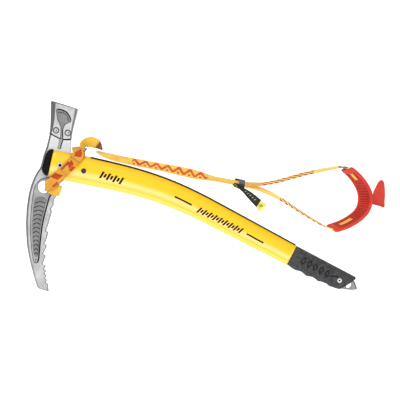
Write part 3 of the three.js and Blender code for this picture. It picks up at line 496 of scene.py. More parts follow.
def grip_material():
    mat = Shader("grip_rubber_textured")
    fine = mat.noise(scale=1100.0, detail=2.0)
    middle = mat.noise(scale=260.0, detail=4.0, roughness=0.6)
    broad = mat.noise(scale=45.0, detail=2.0)
    cells = mat.node("TexVoronoi")
    cells.feature = 'F1'
    mat.feed(cells.inputs["Vector"], mat.coords())
    cells.inputs["Scale"].default_value = 620.0
    tone = mat.mix(mat.remap(middle, over=(0.35, 0.65)), srgb(42, 42, 44), srgb(82, 82, 83))
    tone = mat.mix(mat.times(broad, 0.35), tone, srgb(44, 42, 48))
    # painted shade: the rubber goes darker where the surface is concave
    hollow_shade = mat.remap(mat.geometry("Pointiness"), over=(0.44, 0.50), to=(0.75, 0.0))
    tone = mat.mix(hollow_shade, tone, srgb(24, 24, 26))
    height = mat.plus(mat.times(cells.outputs["Distance"], 1.2), mat.times(fine, 0.5))
    mat.set(Base_Color=tone, Specular_IOR_Level=0.35,
            Roughness=mat.remap(middle, over=(0.3, 0.7), to=(0.62, 0.82)),
            Normal=mat.bump(height, strength=0.35, distance=0.0006))
    return mat.material


def cuff_material(name, base, dark):
    """Red rubber from 0-255 colours, with painted shade (dark) in the hollows and a painted
    highlight on the rims.
    """
    mat = Shader(name)
    cloud = mat.noise(scale=60.0, detail=4.0)
    grain = mat.noise(scale=1300.0, detail=2.0)
    tone = mat.mix(mat.remap(cloud, over=(0.3, 0.7)), srgb(*base),
                   srgb(*[min(255, c + 18) for c in base]))
    point = mat.geometry("Pointiness")
    # painted shade in the hollows
    tone = mat.mix(mat.remap(point, over=(0.40, 0.50), to=(0.55, 0.0)), tone, srgb(*dark))
    # painted highlight on the rims
    tone = mat.mix(mat.remap(point, over=(0.52, 0.62), to=(0.0, 0.35)), tone,
                   srgb(*[min(255, c + 44) for c in base]))
    mat.set(Base_Color=tone, Specular_IOR_Level=0.45, Subsurface_Weight=0.06,
            Subsurface_Radius=(0.01, 0.003, 0.002), Subsurface_Scale=0.2,
            Roughness=mat.remap(cloud, over=(0.3, 0.7), to=(0.40, 0.56)),
            Normal=mat.bump(grain, strength=0.12, distance=0.0003))
    return mat.material


# --------------------------------------------------------------------- woven
def weave(mat, along, across, pitch):
    """Height of a flat twill weave with this pitch in mm."""
    slant = mat.plus(along, mat.times(across, 0.55))
    warp = mat.math('SINE', mat.times(slant, 2 * pi / pitch))
    weft = mat.math('SINE', mat.times(across, 2 * pi / (pitch * 0.9)))
    return mat.plus(mat.times(warp, 0.5), mat.times(mat.times(weft, warp), 0.5))


def slanted_bar(mat, along, across, bar, wobble=None):
    """Mask of a bar: (centre along, centre across, half length, half width, lean)."""
    mid_along, mid_across, half_along, half_across, lean = bar
    place = mat.minus(mat.minus(along, mid_along),
                      mat.times(mat.minus(across, mid_across), lean))
    if wobble is not None:
        place = mat.plus(place, wobble)
    return mat.times(mat.below(mat.size(place), half_along),
                     mat.below(mat.size(mat.minus(across, mid_across)), half_across))


def zigzag_mask(mat, along, across, start, end):
    """Zigzag with diamonds in its hollows, between two places along."""
    period = 16.0
    swing = mat.math('PINGPONG', along, period / 2)
    middle = mat.times(mat.minus(swing, period / 4), 1.25)
    line = mat.below(mat.size(mat.minus(across, middle)), 3.1)
    line = mat.times(line, mat.below(mat.size(across), 6.3))
    # whole periods are added so that the modulo never sees a negative number
    step = mat.math('MODULO', mat.plus(along, 1000 * period), period)
    step = mat.size(mat.minus(step, period / 2))
    diamond = mat.below(mat.plus(step, mat.size(mat.plus(across, 4.2))), 2.4)
    return mat.times(mat.math('MAXIMUM', line, diamond), mat.within(along, start, end))


def dash_mask(mat, along, across, start, end, cell, length):
    slant = mat.plus(along, mat.times(across, 0.6))
    place = mat.math('MODULO', mat.plus(slant, 100 * cell), cell)
    return mat.times(mat.below(place, length), mat.within(along, start, end))


def any_mask(mat, masks):
    total = masks[0]
    for mask in masks[1:]:
        total = mat.math('MAXIMUM', total, mask)
    return total


def webbing_material(name, zigzag=None, blocks=(), dashes=None, shade_bands=(), deep=0.0,
                     pale=0.0, tint=None, glow=0.05):
    """Gold strap with red woven marks; all places are in mm along the band.

    zigzag: (start, end); blocks: slanted bars; dashes: (start, end, cell, length);
    shade_bands: (start, end, strength, colour), bands of painted shade; deep and pale: amounts
    of brown and cream; glow: emission strength, a painted glow.
    """
    mat = Shader(name)
    along, across = mat.strip_coords()
    brown = srgb(196, 120, 22)
    cloud = mat.noise(scale=70.0)
    base = mat.mix(mat.remap(cloud, over=(0.3, 0.7)), srgb(248, 192, 56),
                   srgb(255, 220, 96))
    if pale:
        base = mat.mix(pale, base, srgb(252, 232, 130))
    if tint:
        broad = mat.noise(scale=24.0, detail=2.0)
        base = mat.mix(mat.remap(broad, over=(0.35, 0.65), to=(0.0, 0.72)), base, tint)
    edge = mat.remap(mat.size(across), over=(6.2, 7.5), eased=True)
    base = mat.mix(mat.times(edge, 0.3), base, brown)
    threads = weave(mat, along, across, pitch=1.15)
    # painted shade: brown in the low parts of the weave
    base = mat.mix(mat.remap(threads, over=(-1.0, -0.2), to=(0.24, 0.0)), base, brown)
    if deep:
        base = mat.mix(deep, base, srgb(176, 120, 20))
    masks = []
    if zigzag:
        masks.append(zigzag_mask(mat, along, across, *zigzag))
    if blocks:
        wobble = mat.math('MULTIPLY_ADD', cloud, 2.4, -1.2)
        masks += [slanted_bar(mat, along, across, bar, wobble) for bar in blocks]
    if dashes:
        masks.append(dash_mask(mat, along, across, *dashes))
    if masks:
        red = mat.mix(mat.remap(cloud, over=(0.35, 0.65)), srgb(206, 40, 18),
                      srgb(236, 92, 34))
        # painted shade: the red goes deeper in the low parts of the weave
        red = mat.mix(mat.remap(threads, over=(-1.0, 0.0), to=(0.45, 0.0)), red,
                      srgb(150, 22, 14))
        if dashes:
            red = mat.mix(0.5, red, srgb(132, 44, 20))
        if blocks:
            red = mat.mix(0.5, red, srgb(150, 14, 2))
        base = mat.mix(mat.times(any_mask(mat, masks), 0.94), base, red)
    for start, end, strength, colour in shade_bands:
        rise = mat.remap(along, over=(start - 1.5, start + 1.5), eased=True)
        fall = mat.remap(along, over=(end - 1.5, end + 1.5), to=(1.0, 0.0), eased=True)
        base = mat.mix(mat.times(mat.times(rise, fall), strength), base, colour)
    fuzz = mat.noise(scale=1500.0, detail=2.0)
    # emission is a painted glow: the webbing lights itself by glow
    mat.set(Base_Color=base, Roughness=0.78, Sheen_Weight=0.2, Sheen_Roughness=0.5,
            Specular_IOR_Level=0.3, Emission_Color=base, Emission_Strength=glow,
            Normal=mat.bump(mat.plus(threads, mat.times(fuzz, 0.8)), strength=0.55,
                            distance=0.0004))
    return mat.material


def ribbon_material(name, base, mark, bars):
    """Narrow woven ribbon with slanted bars in a second colour."""
    mat = Shader(name)
    along, across = mat.strip_coords()
    threads = weave(mat, along, across, pitch=0.9)
    cloud = mat.noise(scale=120.0)
    tone = mat.mix(mat.remap(cloud, over=(0.3, 0.7)), base, lighter(base, 1.5))
    marks = any_mask(mat, [slanted_bar(mat, along, across, bar) for bar in bars])
    tone = mat.mix(mat.times(marks, 0.85), tone, mark)
    # painted shade: near-black in the low parts of the weave
    tone = mat.mix(mat.remap(threads, over=(-1, -0.2), to=(0.3, 0.0)), tone,
                   (0.01, 0.01, 0.008, 1))
    mat.set(Base_Color=tone, Roughness=0.75, Sheen_Weight=0.15, Specular_IOR_Level=0.3,
            Normal=mat.bump(threads, strength=0.45, distance=0.0003))
    return mat.material


# ----------------------------------------------------------------- materials
steel = steel_material("forged_steel", light=0.62, dark=0.13, rough=0.34, pale_patch=True)
spike_steel = steel_material("spike_steel", light=0.34, dark=0.10, rough=0.3)
paint = paint_and_highlight_material()
black = plastic_material("black_filler", (0.0025, 0.0022, 0.003, 1), rough=0.5, bump=0.12,
                         spec=0.12)
strip_black = plastic_material("black_strip", (0.003, 0.003, 0.0025, 1), rough=0.5,
                               bump=0.05, spec=0.1)
slider_black = plastic_material("slider_plastic", (0.010, 0.014, 0.016, 1), rough=0.30,
                                bump=0.06, scale=900.0, coat=0.1, spec=0.4)
sleeve_black = plastic_material("sleeve_plastic", (0.02, 0.02, 0.022, 1), rough=0.55,
                                bump=0.1)
grip_rubber = grip_material()
grip_dark = plastic_material("grip_rubber_dark", (0.008, 0.008, 0.009, 1), rough=0.7,
                             bump=0.2, scale=900.0, vary=0.6, spec=0.15)
web = webbing_material("webbing_patterned", zigzag=(53, 162))
HITCH_CREASE_SHADE = srgb(160, 90, 10)
web_hitch = webbing_material(
    "webbing_hitch",
    blocks=[(33, -2.0, 4.6, 5.2, 0.5), (24, 5.6, 4.5, 1.6, 0.2), (52, -4.6, 7.5, 1.7, 0.1),
            (59, -0.5, 4.4, 3.4, -0.4), (56, 5.2, 4.0, 2.0, 0.3), (78, 0.4, 4.6, 4.6, 0.35),
            (101, 0.0, 4.6, 4.6, 0.4), (124, 1.5, 5.0, 4.6, -0.4),
            (149, -1.0, 4.6, 5.0, 0.4)],
    # painted shade in the creases between the hitch's folds
    shade_bands=[(43.0, 44.5, 0.5, HITCH_CREASE_SHADE), (67.0, 69.0, 0.55, srgb(156, 84, 10)),
            (89.0, 91.0, 0.5, HITCH_CREASE_SHADE), (112.0, 113.5, 0.5, HITCH_CREASE_SHADE),
            (136.0, 138.0, 0.5, HITCH_CREASE_SHADE)],
    tint=srgb(232, 134, 22), deep=0.28, glow=0.0)
web_wrap = webbing_material("webbing_wrap", blocks=[(12, -6.0, 5.0, 1.2, 0.3)],
                            tint=srgb(240, 158, 20), deep=0.14, glow=0.0)
# brown over the first part of the bight is painted shade; the maroon on its turned inside is
# painted shade over the strap's red letters
web_bight = webbing_material(
    "webbing_bight", tint=srgb(206, 170, 34),
    shade_bands=[(0, 63, 0.6, srgb(120, 84, 20)), (90.5, 120, 0.92, srgb(118, 16, 26))])
# pale cream and glow are painted light lifting this strap, seen almost edge-on; the band at
# 139-151 is a painted shadow at the fold by the cuff, the band at 5-28 turns the strap deeper
# orange past the slider
web_upper = webbing_material(
    "webbing_upper", dashes=(28, 104, 8.5, 4.6), pale=0.35, glow=0.14,
    shade_bands=[(5, 28, 0.5, srgb(196, 112, 30)), (139, 151, 0.85, srgb(92, 60, 16))])
# glow is painted light lifting this strap, seen almost edge-on
web_lower = webbing_material("webbing_lower", dashes=(58, 132, 9.0, 4.4), pale=0.75,
                             glow=0.14)
web_cuff = webbing_material("webbing_in_cuff", tint=srgb(255, 196, 60), pale=0.3)
cuff_red = cuff_material("cuff_rubber_red", base=(200, 34, 16), dark=(134, 22, 20))
# shaded copy of the red: painted shade for the rib grooves, the far rim and the window walls
cuff_shaded = cuff_material("cuff_rubber_shaded", base=(146, 24, 20), dark=(92, 16, 16))
fin_red = cuff_material("fin_rubber_red", base=(196, 40, 16), dark=(144, 32, 20))
rivet_bright = steel_material("rivet_bright", light=0.86, dark=0.40, rough=0.24,
                              bevelled=False)
rivet_dark = steel_material("rivet_dark", light=0.045, dark=0.03, rough=0.4,
                            bevelled=False)
RIBBON_BLACK = (0.013, 0.011, 0.006, 1)
ribbon = ribbon_material("ribbon_black_marks", RIBBON_BLACK, srgb(214, 208, 190),
                         bars=[(11.0 + 4.5 * k, 0.0, 0.6, 1.7, 0.4) for k in range(5)])
ribbon_turn = ribbon_material("ribbon_black_turn", RIBBON_BLACK, srgb(224, 186, 70),
                              bars=[(3.0, 0.6, 0.7, 1.0, 0.4), (6.0, -0.5, 0.7, 1.0, -0.4)])
ribbon_yellow = ribbon_material("ribbon_yellow_end", srgb(236, 214, 96),
                                (0.02, 0.018, 0.01, 1),
                                bars=[(3.0, 0.0, 0.7, 2.2, 0.5), (5.4, 0.0, 0.7, 2.2, 0.5)])
steel_wall_shade = wall_shade_material()
steel_floor = steel_material("steel_recess_floor", light=0.27, dark=0.08, rough=0.45)
steel_panel = steel_material("steel_panel_floor", light=0.42, dark=0.10, rough=0.42)
# brighter steel on the roundel bosses' rims: a painted highlight
steel_ring = steel_material("steel_roundel", light=0.78, dark=0.22, rough=0.30)
steel_bore = steel_material("steel_bore", light=0.42, dark=0.17, rough=0.4)
# near-black lining for grooves, pits and the hammer's step: painted shade
recess_shade = plastic_material("recess_shade", (0.006, 0.006, 0.007, 1), rough=0.6, bump=0.1)


# --------------------------------------------------------------------- shaft
# "run" is the distance along the shaft's axis, "off" the offset up from it.
SHAFT_START = (-243.42, 186.98)  # x, z
SHAFT_LENGTH = 520
BEND_START, BEND_END = 91.1, 278.9
SHOULDER = 390.5  # run where the tube steps down into the grip
SHAFT_POWER = 2.35  # roundness of the section; 2 is an ellipse
HEAD_SLOT_HALF = 4.9
RIVET_BORE = 3.3
SPIKE_RIVET_BORE = 2.5
FRONT_RIVET = (-206, 178.45)
REAR_RIVET = (-172.57, 170.52)
HEAD_SLOT = [(-240.84, 214.43), (-190.7, 214.43), (-191.13, 189.64), (-199.91, 165.99),
             (-200.62, 157.07), (-201.75, 146.45), (-240.84, 146.45)]


def shaft_angle(run):
    """Fall below the horizontal; the shaft bends between two straight parts."""
    bend = smooth((run - BEND_START) / (BEND_END - BEND_START))
    return radians(12.135 + 15.666 * bend)


def shaft_axis():
    """(x, z, angle) at every millimetre."""
    axis = []
    x, z = SHAFT_START
    for run in range(SHAFT_LENGTH + 1):
        axis.append((x, z, shaft_angle(run)))
        angle = (shaft_angle(run) + shaft_angle(run + 1)) / 2
        x += cos(angle)
        z -= sin(angle)
    return axis


AXIS = shaft_axis()


def on_shaft(run, off=0.0):
    i = min(len(AXIS) - 2, max(0, int(run // 1)))
    x, z, angle = (lerp(a, b, run - i) for a, b in zip(AXIS[i], AXIS[i + 1]))
    return (x + off * sin(angle), z + off * cos(angle))


SPIKE_RIVET = on_shaft(467.6, -0.2)


def shaft_depth(run):
    """Half size of the section in the XZ plane."""
    return 20.99 - 0.01385 * run


def shaft_width(run):
    """Half size of the section along Y."""
    return lerp(11.0, 10.4, smooth(run / 400))


def superellipse(a, b, power, angle):
    c, s = cos(angle), sin(angle)
    return (a * copysign(abs(c) ** (2 / power), c), b * copysign(abs(s) ** (2 / power), s))


def tube_point(run, angle, inset=0.0):
    """Point on the tube; angle 0 is its upper edge."""
    neck = 2.9 * smooth((run - SHOULDER) / 3) if run > SHOULDER else 0.0
    taper = (run - SHOULDER) * 0.022 if run > SHOULDER else 0.0
    off, y = superellipse(shaft_depth(run) - inset - neck - taper,
                          shaft_width(run) - inset - neck * 0.75, SHAFT_POWER, angle)
    x, z = on_shaft(run, off)
    return (x, y, z)


def tube_ring(run, count, inset=0.0):
    return [tube_point(run, 2 * pi * i / count, inset) for i in range(count)]


def make_tube():
    """Hollow shell, out along the outside and back along the bore."""
    count, wall = 96, 1.7
    mouth_insets = {25.0: 0.35, 25.35: 0.1}  # rounds the upper end's rim
    outside = [25.0, 25.35, 26.0, *np.linspace(30, 388, 96), 390.5, 390.9, 391.4, 392.0,
               392.7, 393.4, 396, 410, 430, 450, 472]
    inside = [472, 450, 420, 394, 392.5, 391, 389, *np.linspace(380, 30, 40), 25.0]
    rings = [tube_ring(run, count, mouth_insets.get(run, 0.0)) for run in outside]
    rings += [tube_ring(run, count, wall) for run in inside]
    verts = np.asarray(rings).reshape(-1, 3)
    tube = new_object("tube_shell", verts, grid_faces(len(rings), count, closed=True), paint)
    fix_normals(tube)
    cut(tube, [prism(HEAD_SLOT, -HEAD_SLOT_HALF, HEAD_SLOT_HALF),
               rod(FRONT_RIVET, RIVET_BORE), rod(REAR_RIVET, RIVET_BORE),
               rod(SPIKE_RIVET, SPIKE_RIVET_BORE)])
    soften(tube, 30)
    ride(tube, "axe", "shaft_paint", "shaft_tube")


make_tube()


# ---------------------------------------------------------------------- head
# Material slots of the head, in order; the wall and shade slots hold painted shade.
HEAD_MATERIALS = [steel, steel_wall_shade, steel_floor, recess_shade, steel_panel, steel_ring,
                  steel_bore]
FORGED, WALL_SHADE, FLOOR, SHADE, PANEL, RING, BORE = range(7)
HEAD_HALF = 4.6  # half thickness of the tang and of the pick's root
PICK_TIP_HALF = 2.9
BASIN_DEPTH = 1.1
PLATE_DEPTH = 0.35
FAN_DEPTH = 1.25
HOLE, HOLE_RADIUS = (-229.51, 148), 8.9
# Pick stations from the root down to the tip: back x, z, toothed edge x, z.
PICK = np.array([
    (-220.16, 227.88, -207.56, 225.76), (-222.85, 216.41, -209.68, 214.43),
    (-225.83, 204.51, -211.1, 201.68), (-230.08, 192.48, -212.51, 190.35),
    (-232.62, 182.28, -212.51, 181.14), (-235.03, 174.77, -212.51, 171.94),
    (-239.14, 169.11, -211.1, 164.86), (-242.82, 162.02, -208.97, 157.78),
    (-247.07, 151.54, -208.83, 147.86), (-249.9, 141.49, -210.25, 140.78),
    (-251.32, 135.12, -212.65, 133.98), (-252.59, 125.91, -215.49, 130.16),
    (-253.16, 121.94, -216.05, 121.94), (-253.73, 117.27, -219.88, 116.84),
    (-254.01, 113.45, -218.32, 113.3), (-254.58, 102.54, -221.29, 102.54),
    (-254.72, 92.63, -224.69, 91.21), (-254.58, 86.54, -226.68, 85.97),
    (-254.44, 83.56, -223.56, 83.42), (-254.01, 74.92, -225.54, 74.92),
    (-253.59, 67.98, -229.08, 67.56), (-253.16, 65.01, -225.54, 65.01),
    (-252.31, 58.92, -228.23, 58.63), (-251.18, 53.54, -230.92, 53.11),
    (-250.61, 50.7, -226.96, 50.7), (-249.48, 44.76, -229.37, 44.47),
    (-248.06, 38.81, -231.63, 38.38), (-247.5, 36.54, -226.82, 36.4),
    (-246.22, 31.58, -229.65, 31.58), (-245.51, 29.03, -226.68, 29.03),
    (-244.52, 25.07, -228.94, 24.93), (-243.67, 22.09, -225.83, 22.09),
    (-242.68, 18.84, -228.09, 18.7), (-241.83, 15.86, -225.26, 15.86),
    (-240.98, 13.03, -227.1, 12.89), (-239.99, 10.2, -223.84, 10.2),
    (-238.86, 7.22, -223.7, 5.52), (-237.16, 4.25, -222.71, 0)])
PICK_LAST = len(PICK) - 1
TEETH_START = 10  # pick station where the taper and the thinned edge begin
# Hammer stations from the top down: left x, z, right x, z, half thickness, left and
# right bevels.
HAMMER = np.array([
    (-218.89, 269.81, -181.5, 258.19, 12.6, 7.2, 3.2),
    (-219.17, 258.33, -182.77, 252.67, 12.0, 6.6, 2.8),
    (-219.31, 245.59, -184.61, 245.59, 11.0, 5.7, 2.3),
    (-220.02, 234.26, -187.59, 233.55, 9.6, 4.7, 1.9),
    (-220.73, 226.61, -189.57, 223.63, 8.0, 3.5, 1.6),
    (-221.72, 222.93, -190.99, 213.58, 6.9, 2.9, 1.4),
    (-224.69, 208.76, -192.12, 200.26, 6.5, 2.7, 1.4)])
# Outlines below are (x, z).
TANG = [
    (-209.4, 217.97), (-191.41, 217.97), (-191.69, 200.26), (-191.41, 190.92),
    (-178.52, 188.08), (-162.94, 183.84), (-160.68, 181), (-163.79, 159.48),
    (-166.34, 157.78), (-181.35, 160.89), (-199.2, 165.14), (-203.17, 160.61),
    (-206.56, 154.94), (-208.41, 148.57), (-209.82, 143.61), (-212.23, 142.2),
    (-211.8, 153.53), (-214.64, 163.44), (-216.48, 174.77), (-215.35, 188.93),
    (-213.93, 201.68)]
# Open line where the hammer block ends above the thinner tang.
STEP_LINE = [(-229.51, 226.32), (-220.73, 222.64), (-208.26, 215.99), (-203.87, 213.86),
             (-184.19, 213.93)]
FAN = [
    (-210.81, 257.34), (-206.28, 258.19), (-201.04, 256.63), (-196.93, 254.65),
    (-193.82, 251.53), (-191.69, 247.85), (-190.28, 243.6), (-190.84, 239.5),
    (-195.09, 237.51), (-198.63, 235.39), (-200.76, 231.99), (-201.75, 227.17),
    (-201.89, 221.51), (-202.17, 215.42), (-206.42, 215.42), (-205.57, 221.51),
    (-205.43, 227.17), (-205.57, 232.41), (-206.85, 236.24), (-209.68, 242.61),
    (-210.81, 249.84)]
FAN_CENTRE = (-205.43, 243.32)
STEM = [(-201.75, 215.84), (-202.6, 211.03), (-204.16, 206.5), (-205.29, 201.68),
        (-210.11, 201.68), (-209.26, 206.78), (-208.12, 211.31), (-207.13, 215.84)]
BASIN = [
    (-219.74, 134.55), (-222.43, 126.62), (-224.98, 117.27), (-228.8, 102.68),
    (-231.07, 90.22), (-232.34, 79.88), (-233.9, 66.28), (-234.89, 53.82),
    (-235.88, 45.6), (-237.72, 41.07), (-240.84, 39.94), (-243.67, 41.36),
    (-245.37, 47.59), (-246.93, 58.07), (-248.06, 69.4), (-248.77, 84.98),
    (-248.77, 95.46), (-248.06, 111.04), (-246.93, 123.5), (-245.51, 132.85),
    (-244.8, 139.08), (-243.39, 146.02), (-240.84, 151.69), (-237.16, 156.08),
    (-233.47, 158.91), (-228.94, 160.75), (-223.84, 161.74), (-218.18, 161.6),
    (-213.36, 158.34), (-211.66, 152.11), (-212.51, 144.32), (-215.35, 138.94)]
BASIN_DOT = (-240.84, 45.04)
PLATE = [
    (-225.83, 129.17), (-227.24, 123.08), (-230.64, 109.62), (-233.47, 96.87),
    (-234.89, 85.54), (-236.02, 72.8), (-237.01, 61.47), (-238.01, 51.55),
    (-240.56, 48.72), (-243.25, 51.55), (-244.66, 61.47), (-245.65, 72.8),
    (-245.94, 86.96), (-245.37, 103.96), (-244.1, 119.54), (-242.4, 129.17),
    (-238.71, 133.13), (-233.76, 133.98), (-228.66, 132.85)]
CHEVRON_TOP, CHEVRON_PITCH = 125.76744, 6.019275  # first height and step down
# Roundels on the hammer: centre, recess radius, boss radius, dot centre.
ROUNDELS = [((-211.8, 227.74), 4.6, 2.9, (-211.24, 227.32)),
            ((-195.23, 224.06), 4.7, 3.0, (-194.24, 224.06))]
# Boss rings from its root to its face: height over the surface, share of the radius.
BOSS_LAYERS = [(-3.0, 1.0), (-0.62, 1.0), (-0.34, 0.93), (-0.16, 0.8), (-0.10, 0.62)]


def head_solid(name, rings, bands=None, caps=(FORGED, FORGED)):
    """Stacked solid with a material slot for each band between rings and each cap."""
    piece = stacked_solid(name, rings)
    for material in HEAD_MATERIALS:
        piece.data.materials.append(material)
    n = len(rings[0])
    bands = bands or [FORGED] * (len(rings) - 1)
    slots = [slot for slot in bands for _ in range(n)] + list(caps)
    piece.data.polygons.foreach_set("material_index", slots)
    return piece


def recess(outline, surface, depth, width, side, wall=WALL_SHADE, floor=FLOOR):
    """Cutter with sloped walls; width is a number or a function of the outward normal.

    surface(x, z) is the half thickness of the head where the recess starts.
    """
    normals = outward_normals(outline)
    widths = np.array([width(n) if callable(width) else width for n in normals])
    for _ in range(4):  # evens the wall width out along the outline
        widths = (np.roll(widths, 1) + 2 * widths + np.roll(widths, -1)) / 4
    inset = outline - normals * widths[:, None]
    rings = [[(x, side * (surface(x, z) + rise), z) for x, z in points]
             for points, rise in ((outline, 3.0), (outline, 0.02), (inset, -depth))]
    return head_solid("cutter", rings, [wall, wall], (wall, floor))


def groove(path, half, surface, depth, side):
    """Channel along an open (x, z) path, lined with near-black as painted shade."""
    path = np.array(path, float)
    tangent = np.gradient(path, axis=0)
    tangent /= np.linalg.norm(tangent, axis=1)[:, None]
    normal = np.stack([-tangent[:, 1], tangent[:, 0]], 1)
    outline = np.vstack([path + normal * half, (path - normal * half)[::-1]])
    return recess(outline, surface, depth, half * 0.35, side, SHADE, SHADE)


def pick_half(place):
    return lerp(HEAD_HALF, PICK_TIP_HALF,
                smooth((place - TEETH_START) / (PICK_LAST - TEETH_START)))


PICK_HEIGHTS = (PICK[:, 1] + PICK[:, 3]) / 2
PICK_HALVES = [pick_half(k) for k in range(len(PICK))]


def pick_surface(x, z):
    return float(np.interp(-z, -PICK_HEIGHTS, PICK_HALVES))


def basin_floor(x, z):
    return pick_surface(x, z) - BASIN_DEPTH


def plate_floor(x, z):
    return pick_surface(x, z) - BASIN_DEPTH - PLATE_DEPTH


def hammer_surface(x, z):
    return lerp(6.9, 12.6, (z - 218.25) / (264 - 218.25))


def tang_surface(x, z):
    return HEAD_HALF


def section_ring(left, right, section):
    """Ring from (share of the way from left to right, y) pairs, mirrored in y."""
    points = [(t, y) for t, y in section] + [(t, -y) for t, y in reversed(section)]
    return [(lerp(left[0], right[0], t), y, lerp(left[1], right[1], t)) for t, y in points]


def make_pick():
    rings = []
    places = [k / 3 for k in range(PICK_LAST * 3)] + [PICK_LAST - 0.24, PICK_LAST]
    for place in places:
        i = min(PICK_LAST - 1, int(place))
        back = curve_at(PICK[:, :2], place)
        edge = lerp(PICK[i, 2:], PICK[i + 1, 2:], place - i)
        width = np.linalg.norm(edge - back)
        half = pick_half(place)
        if place >= PICK_LAST:  # blunt tip
            half *= 0.45
        toothed = place >= TEETH_START
        tooth = (1.3 if toothed else 1.0) / width
        edge_half = half - 0.8 if toothed else half
        if place >= PICK_LAST:
            edge_half = half * 0.8
        rings.append(section_ring(back, edge, [
            (0, half * 0.36), (1.15 / width, half * 0.76), (2.9 / width, half),
            (1 - tooth, half), (1, edge_half)]))
    return head_solid("head_forged", rings)


def make_hammer():
    rings = []
    last = len(HAMMER) - 1
    for t in [0.0, 0.026, *np.linspace(0.05, 1, 40)]:
        place = last * t
        left, right = curve_at(HAMMER[:, :2], place), curve_at(HAMMER[:, 2:4], place)
        half, left_bevel, right_bevel = (
            float(np.interp(place, range(len(HAMMER)), HAMMER[:, c])) for c in (4, 5, 6))
        width = np.linalg.norm(right - left)
        if t == 0.0:  # chamfer round the striking face
            half -= 1.3
            left = left + (right - left) * 0.022
            right = right - (right - left) * 0.022
        rings.append(section_ring(left, right, [
            (0, half - left_bevel * 0.72), (left_bevel / width, half),
            (1 - right_bevel / width, half), (1, half - right_bevel)]))
    hammer = head_solid("hammer", rings)
    # trim below the step line, then slope the step outwards on both sides; the slope is
    # near-black, a painted shadow under the step
    (x_first, z_first), (x_last, z_last) = STEP_LINE[0], STEP_LINE[-1]
    below = [(x_last, z_last - 22), (x_first, z_first - 30)]
    base = STEP_LINE + below
    raised = [(x, z + 3.9) for x, z in STEP_LINE] + below
    cut(hammer, [head_solid("cutter", [at_y(base, y) for y in (-THROUGH, THROUGH)])])
    cut(hammer, [head_solid("cutter", [at_y(base, side * HEAD_HALF),
                                       at_y(raised, side * 9.2)], [SHADE])
                 for side, _ in SIDES])
    return hammer


def plate_span(z):
    """Least and greatest x of the plate outline at this height."""
    crossings = []
    for (x0, z0), (x1, z1) in zip(PLATE, PLATE[1:] + PLATE[:1]):
        if (z0 - z) * (z1 - z) <= 0 and abs(z0 - z1) > 1e-6:
            crossings.append(x0 + (x1 - x0) * (z - z0) / (z1 - z0))
    return min(crossings), max(crossings)


def chevrons(side):
    """Two grooved arms at each step down the plate, where it is wide enough."""
    cutters = []
    for k in range(13):
        z = CHEVRON_TOP - k * CHEVRON_PITCH
        x_min, x_max = plate_span(z)
        middle, half = (x_min + x_max) / 2, (x_max - x_min) / 2 - 1.0
        if half < 1.6:
            continue
        for arm in (-1, 1):
            path = [(middle + arm * 0.35, z + 1.55), (middle + arm * half * 0.55, z + 0.55),
                    (middle + arm * half, z - 1.05)]
            cutters.append(groove(path, 0.62, plate_floor, 0.3, side))
    return cutters


def fan_marks(side):
    """Ten short grooves on an arc in the fan's floor."""
    cutters = []
    for middle in np.linspace(-6, 104, 10):
        angles = np.linspace(radians(middle - 3.6), radians(middle + 3.6), 3)
        path = [(FAN_CENTRE[0] + 9.6 * cos(a) * 1.12, FAN_CENTRE[1] + 9.6 * sin(a))
                for a in angles]
        cutters.append(groove(path, 0.95, lambda x, z: hammer_surface(x, z) - FAN_DEPTH,
                              0.4, side))
    return cutters


def side_recesses(side):
    """All the sunk shapes on one face of the head."""
    # the walls are widest on the sides where their painted shade is darkest, so the near-black
    # outlines are broader there
    def fan_wall(normal):
        return 0.85 + 1.15 * max(0.0, normal @ np.array([0.62, 0.78])) ** 1.5

    def stem_wall(normal):
        return 0.25 + 1.5 * max(0.0, normal @ np.array([0.95, -0.3]))

    def basin_wall(normal):
        return 0.9 + 1.35 * max(0.0, normal[0])

    cutters = [
        recess(smooth_outline(FAN, 5), hammer_surface, FAN_DEPTH, fan_wall, side),
        recess(smooth_outline(STEM, 3), tang_surface, 0.95, stem_wall, side, floor=PANEL),
        recess(smooth_outline(BASIN, 4), pick_surface, BASIN_DEPTH, basin_wall, side,
               floor=PANEL),
        recess(smooth_outline(PLATE, 4), basin_floor, PLATE_DEPTH, 0.5, side)]
    cutters += chevrons(side) + fan_marks(side)
    for centre, radius, _, _ in ROUNDELS:
        cutters.append(recess(np.array(circle(centre, radius, 32)), hammer_surface, 0.95,
                              1.0, side, floor=PANEL))
    # near-black dot: painted shade in the little pit
    cutters.append(recess(np.array(circle(BASIN_DOT, 0.75, 16)), basin_floor, 0.4, 0.3,
                          side, SHADE, SHADE))
    return cutters


def boss(centre, radius, side):
    rings = [[(x, side * (hammer_surface(x, z) + rise), z)
              for x, z in circle(centre, radius * share, 32)] for rise, share in BOSS_LAYERS]
    return head_solid("cutter", rings, [RING, RING, RING, FORGED])


def boss_dot(centre, side):
    # near-black dot in the boss: painted shade in the pit
    return recess(np.array(circle(centre, 0.85, 16)),
                  lambda x, z: hammer_surface(x, z) - 0.1, 0.6, 0.25, side, SHADE, SHADE)


def head_bores():
    """The big hole, the two rivet holes and a chamfer on both rims of the big hole."""
    cutters = []
    for centre, radius in ((HOLE, HOLE_RADIUS), (FRONT_RIVET, RIVET_BORE),
                           (REAR_RIVET, RIVET_BORE)):
        ring = circle(centre, radius, 64)
        cutters.append(head_solid("cutter", [at_y(ring, y) for y in (-THROUGH, THROUGH)],
                                  [BORE]))
    rim = basin_floor(*HOLE)
    for side, _ in SIDES:
        rings = [at_y(circle(HOLE, HOLE_RADIUS + grow, 64), side * y)
                 for grow, y in ((0.05, rim - 0.55), (0.65, rim + 0.02), (0.7, rim + 2))]
        cutters.append(head_solid("cutter", rings, [BORE, BORE]))
    return cutters


